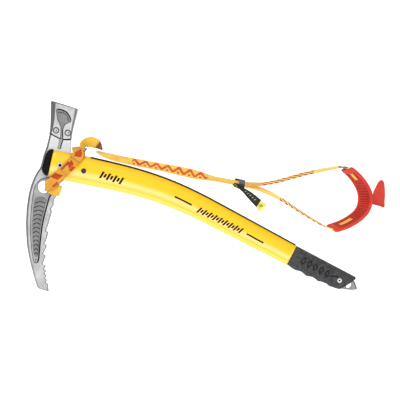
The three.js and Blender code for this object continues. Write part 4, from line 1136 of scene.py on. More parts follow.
def make_head():
    head = make_pick()
    tang = head_solid("tang", [at_y(TANG, y) for y in (-HEAD_HALF, HEAD_HALF)])
    cut(head, [tang, make_hammer()], 'UNION')
    cut(head, [cutter for side, _ in SIDES for cutter in side_recesses(side)])
    cut(head, [boss(centre, radius, side) for side, _ in SIDES
               for centre, _, radius, _ in ROUNDELS], 'UNION')
    dots = [boss_dot(dot, side) for side, _ in SIDES for *_, dot in ROUNDELS]
    cut(head, dots + head_bores())
    soften(head, 28)
    ride(head, "axe", "steel", "head")


make_head()


def make_spine_strip():
    """Thin black inlay along the tube's upper edge."""
    reach = 0.46  # angle to each side of the top
    rings = []
    for run in np.linspace(78, 389.5, 90):
        row = [tube_point(run, lerp(-reach, reach, j / 10), -0.75) for j in range(11)]
        row += [tube_point(run, lerp(reach, -reach, j / 10), -0.15) for j in range(11)]
        rings.append(row)
    strip = grid_object("spine_inlay", rings, strip_black, sharp=60)
    ride(strip, "axe", "black_plastic", "spine_strip")


make_spine_strip()


# ---------------------------------------------------------------------- grip
GRIP_TOP = 14.95  # offset of its upper edge
GRIP_WIDTH = 10.5  # half size along Y
GRIP_POWER = 2.5
# Finger-side outline: run, depth below the axis.
GRIP_LOWER = np.array([
    (391.5, 14.7), (397, 15.4), (402, 16.2), (406.6, 16.4), (411, 15.0), (415, 14.6),
    (419, 15.2), (423, 16.4), (427, 15.4), (431, 14.1), (435, 13.7), (438.5, 14.5),
    (441.5, 15.3), (446, 13.9), (450, 13.2), (454.5, 12.9), (459, 14.0), (463, 13.3),
    (468, 12.6), (474, 11.2), (480, 10.3), (490, 10.0)])
# (x, z) outline of what is cut away past the lower end.
GRIP_END = [
    (203.6, 28.04), (206.57, 24.5), (209.4, 22.66), (211.24, 20.82), (211.67, 18.98),
    (210.68, 17.28), (197.22, 8.36), (186.32, 1.7), (196.8, -12.18), (235.04, -0.85),
    (235.04, 33.14), (212.38, 41.64)]
ENGRAVING = (173.29, 186.88, 21.95, 0.75)  # x from, x to, z, half height


def grip_relief(run, off):
    """Height of the lozenge chain on the grip's flat faces."""
    if 405 < run < 452:
        along = abs(((run - 405) / 9.5) % 1 - 0.5) * 9.5
        if 2.3 < along * 0.95 + abs(off - 0.6) * 0.55 < 3.6:
            return 0.8
    return 0.0


def make_grip():
    count = 128
    rim_insets = {391.5: 0.5, 391.8: 0.15}
    runs = [391.5, 391.8, *np.linspace(392.6, 492, 190)]

    def depth_below(run):
        return float(np.interp(run, GRIP_LOWER[:, 0], GRIP_LOWER[:, 1]))

    rings = []
    for run in runs:
        row = []
        inset = rim_insets.get(run, 0.0)
        low = depth_below(run)
        for i in range(count):
            share, flat_y = superellipse(1, GRIP_WIDTH, GRIP_POWER, 2 * pi * i / count)
            off = share * ((GRIP_TOP if share > 0 else low) - inset)
            y = flat_y * (1 - inset / GRIP_WIDTH)
            if abs(flat_y) > 8.7:
                fade = min(1, (abs(flat_y) - 8.7) / 0.5)
                y += copysign(grip_relief(run, off) * fade, flat_y)
            x, z = on_shaft(run, off)
            row.append((x, y, z))
        rings.append(row)
    grip = grid_object("grip_moulded", rings, grip_rubber, sharp=50)
    raised = []
    for run_a, run_b in zip(runs, runs[1:]):
        run = (run_a + run_b) / 2
        for i in range(count):
            share, y = superellipse(1, GRIP_WIDTH, GRIP_POWER, 2 * pi * (i + 0.5) / count)
            off = share * (GRIP_TOP if share > 0 else depth_below(run))
            raised.append(1 if abs(y) > 8.9 and grip_relief(run, off) > 0 else 0)
    second_material(grip, grip_dark, raised)

    bore = grid_object("cutter", [tube_ring(run, 64, -0.3) for run in
                                  (389, 390.5, 391.3, 392.2, 393.6, 420, 446, 472.3)])
    slot = prism([on_shaft(468, 6.6), on_shaft(520, 6.6), on_shaft(520, -13.2),
                  on_shaft(470.4, -13.2)], -2.7, 2.7)
    cut(grip, [bore, prism(GRIP_END, -THROUGH, THROUGH), slot,
               rod(SPIKE_RIVET, SPIKE_RIVET_BORE)])
    x_from, x_to, z, half = ENGRAVING
    outline = [(x_from, z - half), (x_to, z - half), (x_to, z + half), (x_from, z + half)]
    for side, _ in SIDES:
        line = prism(outline, *sorted((side * 9.25, side * 14)))
        line.data.materials.append(grip_rubber)
        second_material(line, grip_dark, [1] * len(line.data.polygons))
        cut(grip, [line])
    soften(grip, 40)
    ride(grip, "axe", "grip_rubber", "grip")


make_grip()


# --------------------------------------------------------------------- bands
# A station is (point, direction across the band, width scale).
WEB_WIDTH = 15.2
WEB_THICK = 1.6


def stations(rows):
    """From rows of x, y, z, across x, y, z, width scale."""
    return [(np.array(r[:3], float), np.array(r[3:6], float), r[6]) for r in rows]


def mirrored(rows):
    """The same rows on the other side of y = 0, in reverse order."""
    return [(x, -y, z, wx, -wy, wz, scale) for x, y, z, wx, wy, wz, scale in reversed(rows)]


def flat_stations(rows):
    """From rows of x, z, twist in degrees, and a width scale where it isn't 1."""
    points = [np.array([r[0], 0, r[1]], float) for r in rows]
    out = []
    for k, row in enumerate(rows):
        tangent = unit(points[min(len(points) - 1, k + 1)] - points[max(0, k - 1)])
        normal = np.array([-tangent[2], 0, tangent[0]])
        twist = radians(row[2])
        out.append((points[k], normal * cos(twist) + np.array([0, sin(twist), 0]),
                    row[3] if len(row) > 3 else 1))
    return out


def resample(controls, n):
    """n + 1 stations on the curve through the controls."""
    points = [c[0] for c in controls]
    out = []
    for k in range(n + 1):
        place = k / n * (len(controls) - 1)
        i = min(len(controls) - 2, int(place))
        (_, across_a, scale_a), (_, across_b, scale_b) = controls[i:i + 2]
        out.append((curve_at(points, place), lerp(across_a, across_b, place - i),
                    lerp(scale_a, scale_b, place - i)))
    return out


def band(name, path, material, width=WEB_WIDTH, thick=WEB_THICK, start=0.0, cols=14,
         ripple=0.0, seed=0):
    """Flat strip with rounded edges, mapped in mm; along is counted from start."""
    points = np.array([p for p, _, _ in path])
    phase = np.random.RandomState(seed).rand(6) * 6.28
    steps = np.linalg.norm(np.diff(points, axis=0), axis=1)
    lengths = np.concatenate([[0], np.cumsum(steps)])
    half, lift = width / 2, thick / 2
    flat = [lerp(-half + lift, half - lift, i / cols) for i in range(cols + 1)]
    turns = [pi * i / 4 - pi / 2 for i in (1, 2, 3)]
    # section as (across, height from -1 to 1): one face, edge, other face, edge
    section = [(v, -1.0) for v in flat]
    section += [(half - lift + lift * cos(a), sin(a)) for a in turns]
    section += [(v, 1.0) for v in reversed(flat)]
    section += [(-half + lift + lift * cos(a + pi), sin(a + pi)) for a in turns]
    rings, uv = [], []
    for k, (point, across, scale) in enumerate(path):
        tangent = unit(points[min(len(path) - 1, k + 1)] - points[max(0, k - 1)])
        across = unit(across)
        across = unit(across - tangent * (across @ tangent))
        normal = np.cross(tangent, across)
        run = lengths[k]
        row, uv_row = [], []
        for v, height in section:
            share = v / half
            wave = 0.0
            if ripple:
                wave = ripple * (0.5 * sin(run * 0.42 + phase[0] + share * 1.2)
                                 + 0.35 * sin(run * 0.19 + phase[1] - share * 2.0)
                                 + 0.25 * share * sin(run * 0.31 + phase[2]))
            selvedge = 0.12 if abs(share) > 0.86 and abs(height) > 0.5 else 0.0
            row.append(point + across * v * scale
                       + normal * (height * (lift + selvedge) + wave))
            uv_row.append((start + run, v))
        rings.append(row)
        uv.append(uv_row)
    return grid_object(name, rings, material, uv, sharp=60)


# --------------------------------------------------------------------- hitch
# Columns: x, y, z, across x, y, z, width scale.
SLING_LEG = [
    (-226.68, -1, 148.43, 0.02, 0, -1, 0.86), (-226.75, -5.6, 148.57, 0.03, 0, -1, 0.86),
    (-224.83, -9, 149.42, 0.1, 0, -1, 0.95), (-219.74, -11.1, 152.25, 0.32, 0, -0.95, 0.97),
    (-213.36, -12.4, 157.78, 0.6, 0, -0.8, 0.96), (-206, -13.2, 164.29, 0.76, 0, -0.65, 1),
    (-195.09, -13.4, 174.63, 0.74, 0, -0.67, 1), (-185.32, -13.3, 185.25, 0.8, 0, -0.6, 1),
    (-180.22, -12.6, 194.03, 0.97, 0, -0.22, 1.08),
    (-181.64, -9.2, 201.11, 1, 0, -0.05, 0.96)]
SLING_TOP = [(-182.91, 0, 203.95, 1, 0, 0.05, 0.92)]
WRAP_HALF = [
    (-224.27, 0.9, 147.86, 0.02, 0, -1, 0.72), (-224.2, 4.7, 147.86, 0.02, 0, -1, 0.70),
    (-221.86, 6.75, 146.73, -0.02, 0, -1, 0.92), (-215.35, 6.7, 144.18, -0.16, 0, -1, 1.06),
    (-209.4, 6.4, 142.62, -0.3, 0, -1, 0.98), (-206.71, 3.6, 142.62, -0.36, 0, -0.93, 0.86)]
WRAP_MIDDLE = [(-206.14, 0, 142.62, -0.38, 0, -0.92, 0.84)]
BIGHT = [
    (-169.74, 0, 199.84, 0.3, 0.6, -0.7, 0.8), (-173.28, 0, 203.95, 0.5, 0.8, -0.3, 1),
    (-172.86, 0, 208.9, 0.5, 0.75, -0.45, 1), (-168.04, 0, 211.03, 0.15, 0.5, -0.85, 1),
    (-161.24, 0, 211.45, 0, 0.35, -0.94, 1), (-155.01, 0, 208.9, 0.2, 0.35, -0.9, 1),
    (-150.34, 0, 204.8, 0.45, 0.4, -0.8, 0.85), (-146.94, 0, 200.97, 0.5, 0.5, -0.7, 0.6)]


def make_hitch():
    sling = band("hitch_sling_webbing",
                 resample(stations(SLING_LEG + SLING_TOP + mirrored(SLING_LEG)), 150),
                 web_hitch, start=4.0, ripple=0.8, seed=2)
    ride(sling, "axe", "webbing", "hitch_sling")
    wrap = band("hitch_wrap_webbing",
                resample(stations(WRAP_HALF + WRAP_MIDDLE + mirrored(WRAP_HALF)), 110),
                web_wrap, start=3.0, ripple=0.3, seed=5)
    ride(wrap, "axe", "webbing", "hitch_wrap")
    # mapped so that its last point lies at about 100 mm
    length = sum(dist(a[:3], b[:3]) for a, b in zip(BIGHT, BIGHT[1:]))
    bight = band("strap_bight_webbing", resample(stations(BIGHT), 90), web_bight,
                 start=100.0 - length, ripple=0.3, seed=7)
    ride(bight, "axe", "webbing", "strap_bight")


make_hitch()


# --------------------------------------------------------------------- strap
# Hinges (x, z) and the direction (x, z) of the straight run into the slider.
LIFT, SWING, LOOP_HINGE = (-143.04, 192.9), (-119.25, 186.84), (58.57, 150.77)
RUN_X, RUN_Z = 0.98296, -0.18381
# Columns: x, z, twist in degrees, width scale where it isn't 1.
STRAP = [
    (-155.58, 198.28, 74, 0.3), (-150.2, 196.16, 70, 0.75), (-144.39, 193.75, 66),
    (-141.7, 192.9, 64), (-136.88, 191.34, 60), (-131.78, 189.93, 57),
    (-126.12, 188.51, 55), (-120.6, 187.16, 54), (-117.9, 186.53, 53),
    (-108.7, 184.54, 50), (-88.45, 180.72, 49), (-65.22, 176.33, 47),
    (-42.56, 171.66, 39), (-19.9, 166.7, 33), (-5.03, 163.3, 48), (9.85, 159.97, 66),
    (25.57, 156.95, 66), (41.29, 154.02, 66), (57.01, 151.09, 66)]
LOOP_UPPER = [
    (51.34, 152.46, 66), (55.17, 151.83, 66), (60.12, 151.54, 67), (65.65, 151.69, 71),
    (76.7, 151.83, 74), (88.03, 153.24, 75), (97.66, 155.08, 75), (107.57, 157.49, 75),
    (125.42, 162.59, 74), (141.7, 166.84, 74), (166.06, 172.08, 75),
    (181.22, 174.77, 78), (190.57, 176.33, 83)]
LOOP_LOWER = [
    (50.92, 151.4, 66), (55.17, 150.55, 66), (59.84, 149.42, 66), (65.65, 147.86, 68),
    (72.87, 145.88, 68), (81.09, 142.9, 68), (90.58, 138.8, 69), (104.31, 131.57, 73),
    (117.34, 123.36, 76), (133.63, 112.6, 79), (149.78, 102.54, 81),
    (161.39, 95.6, 83), (169.32, 91.78, 86)]
# Last stations inside the cuff: x, y, z, across x, y, z, width scale.
UPPER_END = [(195.38, 0, 175.62, -0.3, 0.95, 0, 1.0),
             (200.48, 0, 172.36, -0.5, 0.85, -0.12, 1.0)]
LOWER_END = [(174.42, 0, 89.94, -0.3, 0.95, 0.15, 1.0),
             (180.09, 0, 88.94, -0.5, 0.82, 0.28, 1.0)]


def blend(piece, body_a, body_b, hinge, direction, half):
    """Bake the piece's transform into its mesh; the bodies, hinge, direction and half are not
    used.
    """
    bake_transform(piece)


def make_strap():
    """One run of webbing in two pieces, which meet away from the hinges."""
    path = resample(flat_stations(STRAP), 420)
    steps = [np.linalg.norm(b[0] - a[0]) for a, b in zip(path, path[1:])]
    lengths = np.concatenate([[0], np.cumsum(steps)])

    def nearest(x, z):
        return int(np.argmin([hypot(p[0] - x, p[2] - z) for p, _, _ in path]))

    joint, end = nearest(-130.93, 189.5), nearest(51.77, 152.04)
    first = band("strap_start_webbing", path[:joint + 1], web, ripple=0.10, seed=3)
    main = band("strap_main_webbing", path[joint:end + 1], web,
                start=float(lengths[joint]), ripple=0.10, seed=3)
    direction = unit(np.array((-131.78, 189.71)) - np.array((-144.39, 193.4)))
    blend(first, "axe", "strap_root", LIFT, direction, 5.0)
    blend(main, "strap_root", "strap_main", SWING, direction, 6.5)
    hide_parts("hitch_tail", "strap_root")
    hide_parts("strap_main")


def make_loop_straps():
    """Two thin layers from inside the slider, opening out to the cuff."""
    upper = band("loop_upper_webbing",
                 resample(flat_stations(LOOP_UPPER) + stations(UPPER_END), 190),
                 web_upper, thick=1.25, ripple=0.08, seed=11)
    lower = band("loop_lower_webbing",
                 resample(flat_stations(LOOP_LOWER) + stations(LOWER_END), 190),
                 web_lower, thick=1.25, ripple=0.08, seed=12)
    for piece in (upper, lower):
        blend(piece, "strap_main", "wrist_loop", LOOP_HINGE, unit((RUN_X, RUN_Z)), 4.5)
    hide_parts("loop_upper_strap")
    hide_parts("loop_lower_strap")


make_strap()
make_loop_straps()


# --------------------------------------------------------------- pull ribbon
# Columns: x, y, z, across x, y, z, width scale.
RIBBON_WIDTH, RIBBON_THICK = 13.4, 1.2
RIBBON = [
    (46.1, -11.3, 147.15, 0.55, 0.5, 0.67, 0.24),
    (50.07, -11.6, 145.17, 0.5, 0.45, 0.74, 0.34),
    (54.32, -11.4, 142.34, 0.44, 0.42, 0.79, 0.52),
    (60.27, -10.4, 137.38, 0.4, 0.4, 0.82, 0.74),
    (67.06, -8.6, 131.29, 0.37, 0.38, 0.85, 0.9), (74.29, -6, 124.49, 0.36, 0.34, 0.87, 1.0)]
RIBBON_END = [
    (74.64, -5.85, 124.14, 0.36, 0.34, 0.87, 1.0),
    (77.69, -4.9, 120.95, 0.42, 0.3, 0.86, 1.04), (81.09, -4, 117.41, 0.5, 0.24, 0.84, 1.1)]
RIBBON_TURN = [
    (38.74, -8.6, 151.83, 0.2, 0.35, 0.9, 0.7), (41, -10.6, 149.84, 0.3, 0.3, 0.9, 0.95),
    (43.84, -11.2, 148.43, 0.4, 0.4, 0.82, 1.0), (46.95, -11.5, 146.73, 0.5, 0.5, 0.7, 0.8)]


def make_pull_ribbon():
    tab = band("pull_ribbon", resample(stations(RIBBON), 70), ribbon, RIBBON_WIDTH,
               RIBBON_THICK, cols=16, ripple=0.12, seed=4)
    end = band("pull_ribbon_end", resample(stations(RIBBON_END), 20), ribbon_yellow,
               RIBBON_WIDTH, RIBBON_THICK, cols=16)
    turn = band("pull_ribbon_turn", resample(stations(RIBBON_TURN), 30), ribbon_turn,
                width=4.6, thick=1.0, cols=8)
    ride(turn, "keeper", "ribbon_black")
    ride(tab, "pull_tab", "ribbon_black", "keeper_pull_tab")
    ride(end, "pull_tab", "ribbon_yellow", "pull_tab_end")


make_pull_ribbon()


# ---------------------------------------------------------------------- cuff
CUFF_WIDTH = 25.0
# Columns: near edge x, z, then the step x, z from the near edge to the far edge.
CUFF = [
    (192.41, 172.51, 13.59648, 2.12445), (197.65, 168.26, 14.72952, 1.4163),
    (203.03, 162.59, 15.86256, 0.84978), (208.41, 155.51, 16.9956, 0.28326),
    (212.94, 147.58, 17.84538, -0.14163), (215.78, 139.36, 18.4119, -0.42489),
    (216.63, 130.87, 18.4119, -0.84978), (215.21, 122.09, 18.12864, -1.98282),
    (210.96, 114.15, 17.56212, -3.68238), (204.45, 108.21, 16.71234, -5.38194),
    (196.8, 103.11, 15.86256, -6.51498), (188.02, 98.57, 14.72952, -7.36476),
    (179.52, 95.32, 13.59648, -7.78965), (171.3, 92.63, 12.7467, -7.78965)]
CUFF_POINTS = [np.array([x + dx / 2, 0, z + dz / 2]) for x, z, dx, dz in CUFF]
CUFF_ACROSS = [np.array([dx, -sqrt(CUFF_WIDTH ** 2 - dx * dx - dz * dz), dz]) / CUFF_WIDTH
               for _, _, dx, dz in CUFF]


def cuff_frames(n):
    """(point, across, normal) at n + 1 places along the cuff."""
    last = len(CUFF) - 1
    out = []
    for k in range(n + 1):
        t = k / n
        i = min(last - 1, int(t * last))
        across = unit(lerp(CUFF_ACROSS[i], CUFF_ACROSS[i + 1], t * last - i))
        tangent = unit(curve_at(CUFF_POINTS, last * min(1, t + 1e-3))
                       - curve_at(CUFF_POINTS, last * max(0, t - 1e-3)))
        out.append((curve_at(CUFF_POINTS, last * t), across, unit(np.cross(tangent, across))))
    return out


def in_cuff(cuff_frame, across, normal):
    return cuff_frame[0] + cuff_frame[1] * across + cuff_frame[2] * normal


# Section as (across, normal): round the outer face, then back over the wrist side.
CUFF_OUTER = [
    (-12.5, -0.6), (-12.3, -1.35), (-11.7, -1.95), (-10.4, -2.3), (-6, -2.7), (0, -2.75),
    (6, -2.7), (10.4, -2.3), (11.7, -1.95), (12.3, -1.35), (12.5, -0.6), (12.5, 1.2),
    (12.3, 1.75), (11.8, 2.15), (11.0, 2.3), (10.2, 2.05), (9.6, 1.75)]
CUFF_WRIST = [(v, 2.05 + 0.55 * (1 - (v / 9.6) ** 2)) for v in np.linspace(9.2, -9.2, 27)]
CUFF_RETURN = [(-9.6, 1.75), (-10.2, 2.05), (-11.0, 2.3), (-11.8, 2.15), (-12.3, 1.75),
               (-12.5, 1.2)]
CUFF_SECTION = CUFF_OUTER + CUFF_WRIST + CUFF_RETURN
CUFF_STEPS = 368
RIB_STEPS = 8  # steps from rib to rib


def ribbed(j, share):
    """Whether section point j is on the wrist side, away from the cuff's ends."""
    return 0 <= j - len(CUFF_OUTER) < len(CUFF_WRIST) and 0.09 < share < 0.93


def cuff_window(frames, low, high):
    """Cutter for a window in the wrist side, between two places across; it lines the window's
    walls with the shaded red, painted shade.
    """
    corners = ((high, 0.0), (high, 6), (low, 6), (low, 0.0))
    window = grid_object("cutter", [[in_cuff(f, *c) for c in corners] for f in frames],
                         cuff_red)
    second_material(window, cuff_shaded, [1] * len(window.data.polygons))
    return window


def make_cuff():
    rings = []
    for k, cuff_frame in enumerate(cuff_frames(CUFF_STEPS)):
        row = []
        share = k / CUFF_STEPS
        from_end = min(k, CUFF_STEPS - k)
        taper = 1 - 0.035 * smooth(1 - from_end / 14)
        rounding = 0.55 * smooth(1 - from_end / 4)
        rib = smooth(1 - abs(k % RIB_STEPS / RIB_STEPS - 0.5) / 0.30)
        for j, (across, normal) in enumerate(CUFF_SECTION):
            if ribbed(j, share):
                normal -= 0.75 * rib * min(1, (9.4 - abs(across)) / 0.8)
            row.append(in_cuff(cuff_frame, across * taper * (1 - rounding * 0.02),
                               normal - copysign(rounding, normal) * 0.6))
        rings.append(row)
    cuff = grid_object("cuff_moulded", rings, cuff_red, sharp=48)
    shaded = []  # the grooves between ribs and the rim at the negative end across
    for k in range(CUFF_STEPS):
        in_groove = abs((k + 0.5) % RIB_STEPS / RIB_STEPS - 0.5) < 0.22
        for j, (across, _) in enumerate(CUFF_SECTION):
            groove_face = ribbed(j, k / CUFF_STEPS) and in_groove and abs(across) < 9.0
            shaded.append(1 if groove_face or across < -11.0 else 0)
    second_material(cuff, cuff_shaded, shaded)

    # channel for the strap, run out past both ends
    frames = cuff_frames(104)

    def beyond(end, inner):
        return (end[0] + (end[0] - inner[0]) * 2.4, end[1], end[2])

    frames = [beyond(frames[0], frames[1]), *frames, beyond(frames[-1], frames[-2])]
    corners = ((8.0, -1.25), (8.0, 1.25), (-8.0, 1.25), (-8.0, -1.25))
    channel = grid_object("cutter", [[in_cuff(f, *c) for c in corners] for f in frames])
    frames = cuff_frames(184)
    cut(cuff, [channel, cuff_window(frames[18:39], -5.0, 3.2),
               cuff_window(frames[136:165], -6.0, 2.2)])
    soften(cuff, 45)
    ride(cuff, "wrist_loop", "cuff_rubber", "cuff")


def make_cuff_strap():
    path = [(point, across, 1) for point, across, _ in cuff_frames(120)[2:-2]]
    strap = band("cuff_strap_webbing", path, web_cuff, start=320.0)
    ride(strap, "wrist_loop", "webbing", "cuff_strap")


make_cuff()
make_cuff_strap()


# ----------------------------------------------------------------------- fin
FIN = [  # (x, z) outline
    (227.77, 134.27), (235.89, 137.1), (237.73, 141.63), (240.14, 146.59),
    (242.97, 152.11), (245.52, 155.93), (247.78, 157.78), (250.05, 157.92),
    (252.18, 156.36), (253.73, 152.96), (254.44, 146.45), (254.72, 137.1),
    (254.16, 127.33), (253.45, 118.97), (246.37, 120.67), (239.85, 122.37),
    (235.6, 123.22), (227.77, 123.5)]
# Layers through its thickness: y offset, inset from the outline.
FIN_LAYERS = [
    (-0.70, 2.8), (-0.80, 2.3), (-1.05, 1.8), (-1.12, 1.1), (-1.05, 0.5), (-0.75, 0.1),
    (-0.25, 0.0), (0.25, 0.0), (0.75, 0.1), (1.05, 0.5), (1.12, 1.1), (1.05, 1.8),
    (0.80, 2.3), (0.70, 2.8)]
# Root rings: share of the way, half width, half height, share of the cuff's own shape.
FIN_ROOT = [
    (0.10, 2.3, 7.3, 0.55), (0.22, 1.8, 6.7, 0.25), (0.38, 1.45, 6.2, 0.08),
    (0.56, 1.25, 5.8, 0.0), (0.76, 1.12, 5.5, 0.0), (1.0, 0.5, 4.6, 0.0)]


def fin_plane(x):
    """y of the fin's middle plane, which leans away from the viewer."""
    return 4.4 + (x - 230.22) * 0.3


def make_fin():
    points = [np.array(p, float) for p in FIN]
    n = len(points)
    dense = []
    for i in range(n):
        p0, p1, p2, p3 = points[i - 1], points[i], points[(i + 1) % n], points[(i + 2) % n]
        for t in np.linspace(0, 1, 9)[:-1]:
            if i in (n - 1, 0):  # the root end stays straight
                dense.append(p1 + (p2 - p1) * t)
            else:
                dense.append(0.5 * ((2 * p1) + (p2 - p0) * t
                                    + (2 * p0 - 5 * p1 + 4 * p2 - p3) * t * t
                                    + (3 * p1 - p0 - 3 * p2 + p3) * t ** 3))
    outline = np.array(dense)
    normals = outward_normals(outline)
    rings = [[(x, fin_plane(x) + y, z) for x, z in outline - normals * inset]
             for y, inset in FIN_LAYERS]
    fin = stacked_solid("cuff_fin_moulded", rings, fin_red, shade_smooth=True)
    soften(fin, 42)
    ride(fin, "fin", "cuff_rubber", "cuff_fin")


def make_fin_root():
    """Flared web that joins the fin to the back of the cuff."""
    skin = np.array([in_cuff(f, v, -2.35) for f in cuff_frames(240)
                     for v in np.linspace(-11, 11, 111)])

    def on_plane(x):
        return np.array([x, fin_plane(x), 128.9])

    def on_skin(point):
        return skin[np.argmin(((skin - point) ** 2).sum(1))]

    def ring(centre, half_width, half_height):
        out = []
        for i in range(28):
            c, s = cos(2 * pi * i / 28), sin(2 * pi * i / 28)
            out.append(centre + sideways * half_width * copysign(abs(c) ** 0.7, c)
                       + np.array([0, 0, 1.0]) * half_height * copysign(abs(s) ** 0.7, s))
        return out

    sideways = unit(np.array([-0.3, 1.0, 0.0]))
    contact = min(np.linspace(224, 231, 71),
                  key=lambda x: np.linalg.norm(on_skin(on_plane(x)) - on_plane(x)))
    start = on_plane(contact)
    span = on_plane(231.0) - start
    base = [on_skin(p) for p in ring(start, 2.9, 8.0)]
    rings = [base]
    for t, half_width, half_height, keep in FIN_ROOT:
        rings.append([lerp(p, b + span * t * 0.8, keep) for p, b in
                      zip(ring(start + span * t, half_width, half_height), base)])
    root = grid_object("cuff_fin_root", rings, fin_red, sharp=60)
    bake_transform(root)


make_fin()
make_fin_root()


# -------------------------------------------------------------------- slider
KEEPER_END = np.array((55.03, 0, 151.46))
KEEPER_TWIST = radians(66)
KEEPER_RUN = np.array([RUN_X, 0, RUN_Z])
KEEPER_ACROSS = (np.array([-RUN_Z, 0, RUN_X]) * cos(KEEPER_TWIST)
                 + np.array([0, sin(KEEPER_TWIST), 0]))
KEEPER_NORMAL = np.cross(KEEPER_RUN, KEEPER_ACROSS)
# Rings from the head's side to the wrist's: place along, inset.
KEEPER_RINGS = [
    (-15.2, 0.9), (-15.05, 0.4), (-14.6, 0.08), (-14.0, 0.0), (-9.6, 0.0), (-9.2, 0.25),
    (-8.8, 0.25), (-8.4, 0.0), (-1.2, 0.0), (-0.6, 0.08), (-0.15, 0.4), (0.0, 0.9)]


def in_keeper(along, outline):
    return [KEEPER_END + KEEPER_RUN * along + KEEPER_ACROSS * v + KEEPER_NORMAL * n
            for v, n in outline]


def rounded_box(a, b, radius):
    """Outline of half sizes a and b, seven points to each corner."""
    out = []
    for cx, cy, start in ((a - radius, b - radius, 0), (-a + radius, b - radius, 90),
                          (-a + radius, -b + radius, 180), (a - radius, -b + radius, 270)):
        for i in range(7):
            angle = radians(start + 90 * i / 6)
            out.append((cx + radius * cos(angle), cy + radius * sin(angle)))
    return out


def keeper_box(half_width, half_thick, start, end):
    a, b = half_width, half_thick
    outline = [(-a, -b), (a, -b), (a, b), (-a, b)]
    return extrusion(in_keeper(start, outline), in_keeper(end, outline))


def make_keeper():
    rings = [in_keeper(along, rounded_box(9.9 - inset, 3.1 - inset, 1.6))
             for along, inset in KEEPER_RINGS]
    keeper = grid_object("keeper_slider", rings, slider_black, sharp=40)
    cut(keeper, [keeper_box(8.2, 1.3, -17, 2), keeper_box(7.9, 5, -17, -8.6)])
    soften(keeper, 35)
    ride(keeper, "keeper", "black_plastic", "keeper")


make_keeper()


# --------------------------------------------------------- marks on the shaft
MARK_RAISE, MARK_SINK = 0.19, 0.25  # from the tube's surface, along Y


def shaft_coords(point):
    """(run, off) of an (x, z) point, to the nearest half millimetre of run."""
    def gap(run):
        x, z = on_shaft(run)
        return (point[0] - x) ** 2 + (point[1] - z) ** 2
    run = min(np.arange(0, 500, 0.5), key=gap)
    x, z = on_shaft(run)
    angle = AXIS[int(run)][2]
    return run, (point[0] - x) * sin(angle) + (point[1] - z) * cos(angle)


def shaft_mark(name, start, end, half, steps, lean=0.0):
    """Thin black bar between two (run, off) places, on both sides of the tube."""
    for side, tag in SIDES:
        rings = []
        for k in range(steps + 1):
            run, middle = (lerp(a, b, k / steps) for a, b in zip(start, end))
            points = []
            for q in range(5):
                off = lerp(middle - half, middle + half, q / 4)
                fall = max(0.0, 1 - abs(off / shaft_depth(run)) ** SHAFT_POWER)
                x, z = on_shaft(run + lean * (off - middle), off)
                points.append((x, side * shaft_width(run) * fall ** (1 / SHAFT_POWER), z))
            rings.append([(x, y + side * MARK_RAISE, z) for x, y, z in points]
                         + [(x, y - side * MARK_SINK, z) for x, y, z in reversed(points)])
        ride(grid_object(name + "_" + tag, rings, strip_black, sharp=60), "axe")


def bar_row(name, start, end, count, half):
    """Leaning bars between two (x, z) points, every second one shorter."""
    (run_a, off_a), (run_b, off_b) = shaft_coords(start), shaft_coords(end)
    for i in range(count):
        first, last = ((lerp(run_a, run_b, t), lerp(off_a, off_b, t))
                       for t in (i / count, (i + 0.62) / count))
        shaft_mark("%s_%02d" % (name, i), first, last, half * (1.0 if i % 2 == 0 else 0.55),
                   steps=3, lean=0.35)


for name, start, end in (("shaft_dash_upper", (-44.4, 134.41), (-20.32, 122.37)),
                         ("shaft_dash_lower", (57.43, 81.72), (80.8, 68.83))):
    shaft_mark(name, shaft_coords(start), shaft_coords(end), half=1.1, steps=14)
bar_row("shaft_band_upper", (-148.5, 165.42), (-116.2, 155.23), count=7, half=5.0)
bar_row("shaft_band_lower", (-10.55, 115.57), (51.49, 84.98), count=17, half=4.5)


# ---------------------------------------------------------- CAD pieces kept
# Columns: piece, material, slot, bevel width in mm (0 for none).
KEPT = [
    ("nose_cheek_near", black, "black_plastic", 0.3),
    ("nose_cheek_far", black, "black_plastic", 0.3),
    ("head_rivet_front", rivet_bright, "rivet_steel", 0.12),
    ("head_rivet_rear", rivet_dark, "rivet_dark", 0.12),
    ("spike_sleeve", sleeve_black, "black_plastic", 0),
    ("spike", spike_steel, "steel", 0.2),
    ("spike_rivet", rivet_bright, "rivet_steel", 0.12)]
# Rivet socket rings: share of the radius, height over the rivet's face.
SOCKET_RINGS = [(1.0, -0.5), (1.0, 0.03), (0.92, 0.09), (0.80, 0.05), (0.55, -0.02),
                (0.25, -0.04)]


def dress(name, material, slot, bevel_width):
    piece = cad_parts[name]
    piece.data.materials.clear()
    piece.data.materials.append(material)
    if bevel_width:
        bevel = piece.modifiers.new("edge", 'BEVEL')
        bevel.width = bevel_width * MM
        bevel.segments = 2
        bevel.limit_method = 'ANGLE'
        bevel.angle_limit = radians(30)


def make_sockets(name, centre, radius, y):
    """Shallow dish with a rolled lip in both heads of a rivet, black as painted shade inside
    the rivet.
    """
    for side, tag in SIDES:
        rings = [at_y(circle(centre, radius * share, 28), side * (y + height))
                 for share, height in SOCKET_RINGS]
        ride(grid_object(name + "_" + tag, rings, black, sharp=50), "axe", "rivet_dark")


for row in KEPT:
    dress(*row)
make_sockets("rivet_front_socket", FRONT_RIVET, radius=2.3, y=12.1)
make_sockets("spike_rivet_socket", SPIKE_RIVET, radius=1.35, y=11.7)


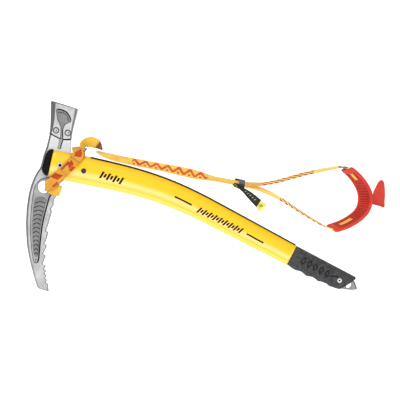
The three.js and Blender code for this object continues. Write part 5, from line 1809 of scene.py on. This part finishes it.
# -------------------------------------------------------------- room, camera
def backdrop_material():
    mat = Shader("backdrop_white")
    cloud = mat.noise(scale=3.0, detail=2.0)
    mat.set(Base_Color=mat.mix(mat.times(cloud, 0.02), grey(0.93), grey(0.90)),
            Roughness=0.9, Specular_IOR_Level=0.0, Emission_Color=(1, 1, 1, 1),
            Emission_Strength=0.42)
    return mat.material


def make_room():
    white = backdrop_material()
    wall_y, wall_half, floor_z, floor_half = 3400, 9000, -700, 40000
    face = [(0, 1, 2, 3)]
    corners = ((-1, -1), (1, -1), (1, 1), (-1, 1))
    wall = new_object("backdrop_wall", [(i * wall_half, wall_y, j * wall_half)
                                        for i, j in corners], face, white, shade_smooth=False)
    floor = new_object("floor_pale", [(i * floor_half, -floor_half if j < 0 else wall_y,
                                       floor_z) for i, j in corners], face, white,
                       shade_smooth=False)


def area_light(name, location, size, power):
    """Square light aimed at the middle of the axe; metres and watts."""
    light = bpy.data.lights.new(name, 'AREA')
    light.shape = 'SQUARE'
    light.size = size
    light.energy = power
    lamp = bpy.data.objects.new(name, light)
    bpy.context.scene.collection.objects.link(lamp)
    lamp.location = location
    aim = Vector((0, 0, 0.13)) - Vector(location)
    lamp.rotation_euler = aim.to_track_quat('-Z', 'Y').to_euler()


def make_world():
    world = bpy.data.worlds.new("studio")
    bpy.context.scene.world = world
    world.use_nodes = True
    background = world.node_tree.nodes["Background"]
    background.inputs["Color"].default_value = (1, 1, 1, 1)
    background.inputs["Strength"].default_value = 0.5


def make_camera():
    """Long lens on the near side, looking straight along +Y."""
    view = bpy.data.cameras.new("view")
    view.type = 'PERSP'
    view.sensor_width = 36
    view.lens = 158.87
    view.clip_end = 100
    camera = bpy.data.objects.new("view", view)
    bpy.context.scene.collection.objects.link(camera)
    camera.location = (-0.00857, -2.5, 0.12945)
    camera.rotation_euler = (radians(90), 0, 0)
    bpy.context.scene.camera = camera


make_room()
area_light("key", (-0.6, -1.4, 1.5), size=1.0, power=17)
area_light("fill", (1.2, -1.6, 0.4), size=1.6, power=5)
area_light("low", (0.2, -1.2, -0.55), size=1.0, power=2.5)
make_world()
make_camera()
bpy.context.scene.view_settings.view_transform = 'Standard'
bpy.context.scene.view_settings.look = 'None'
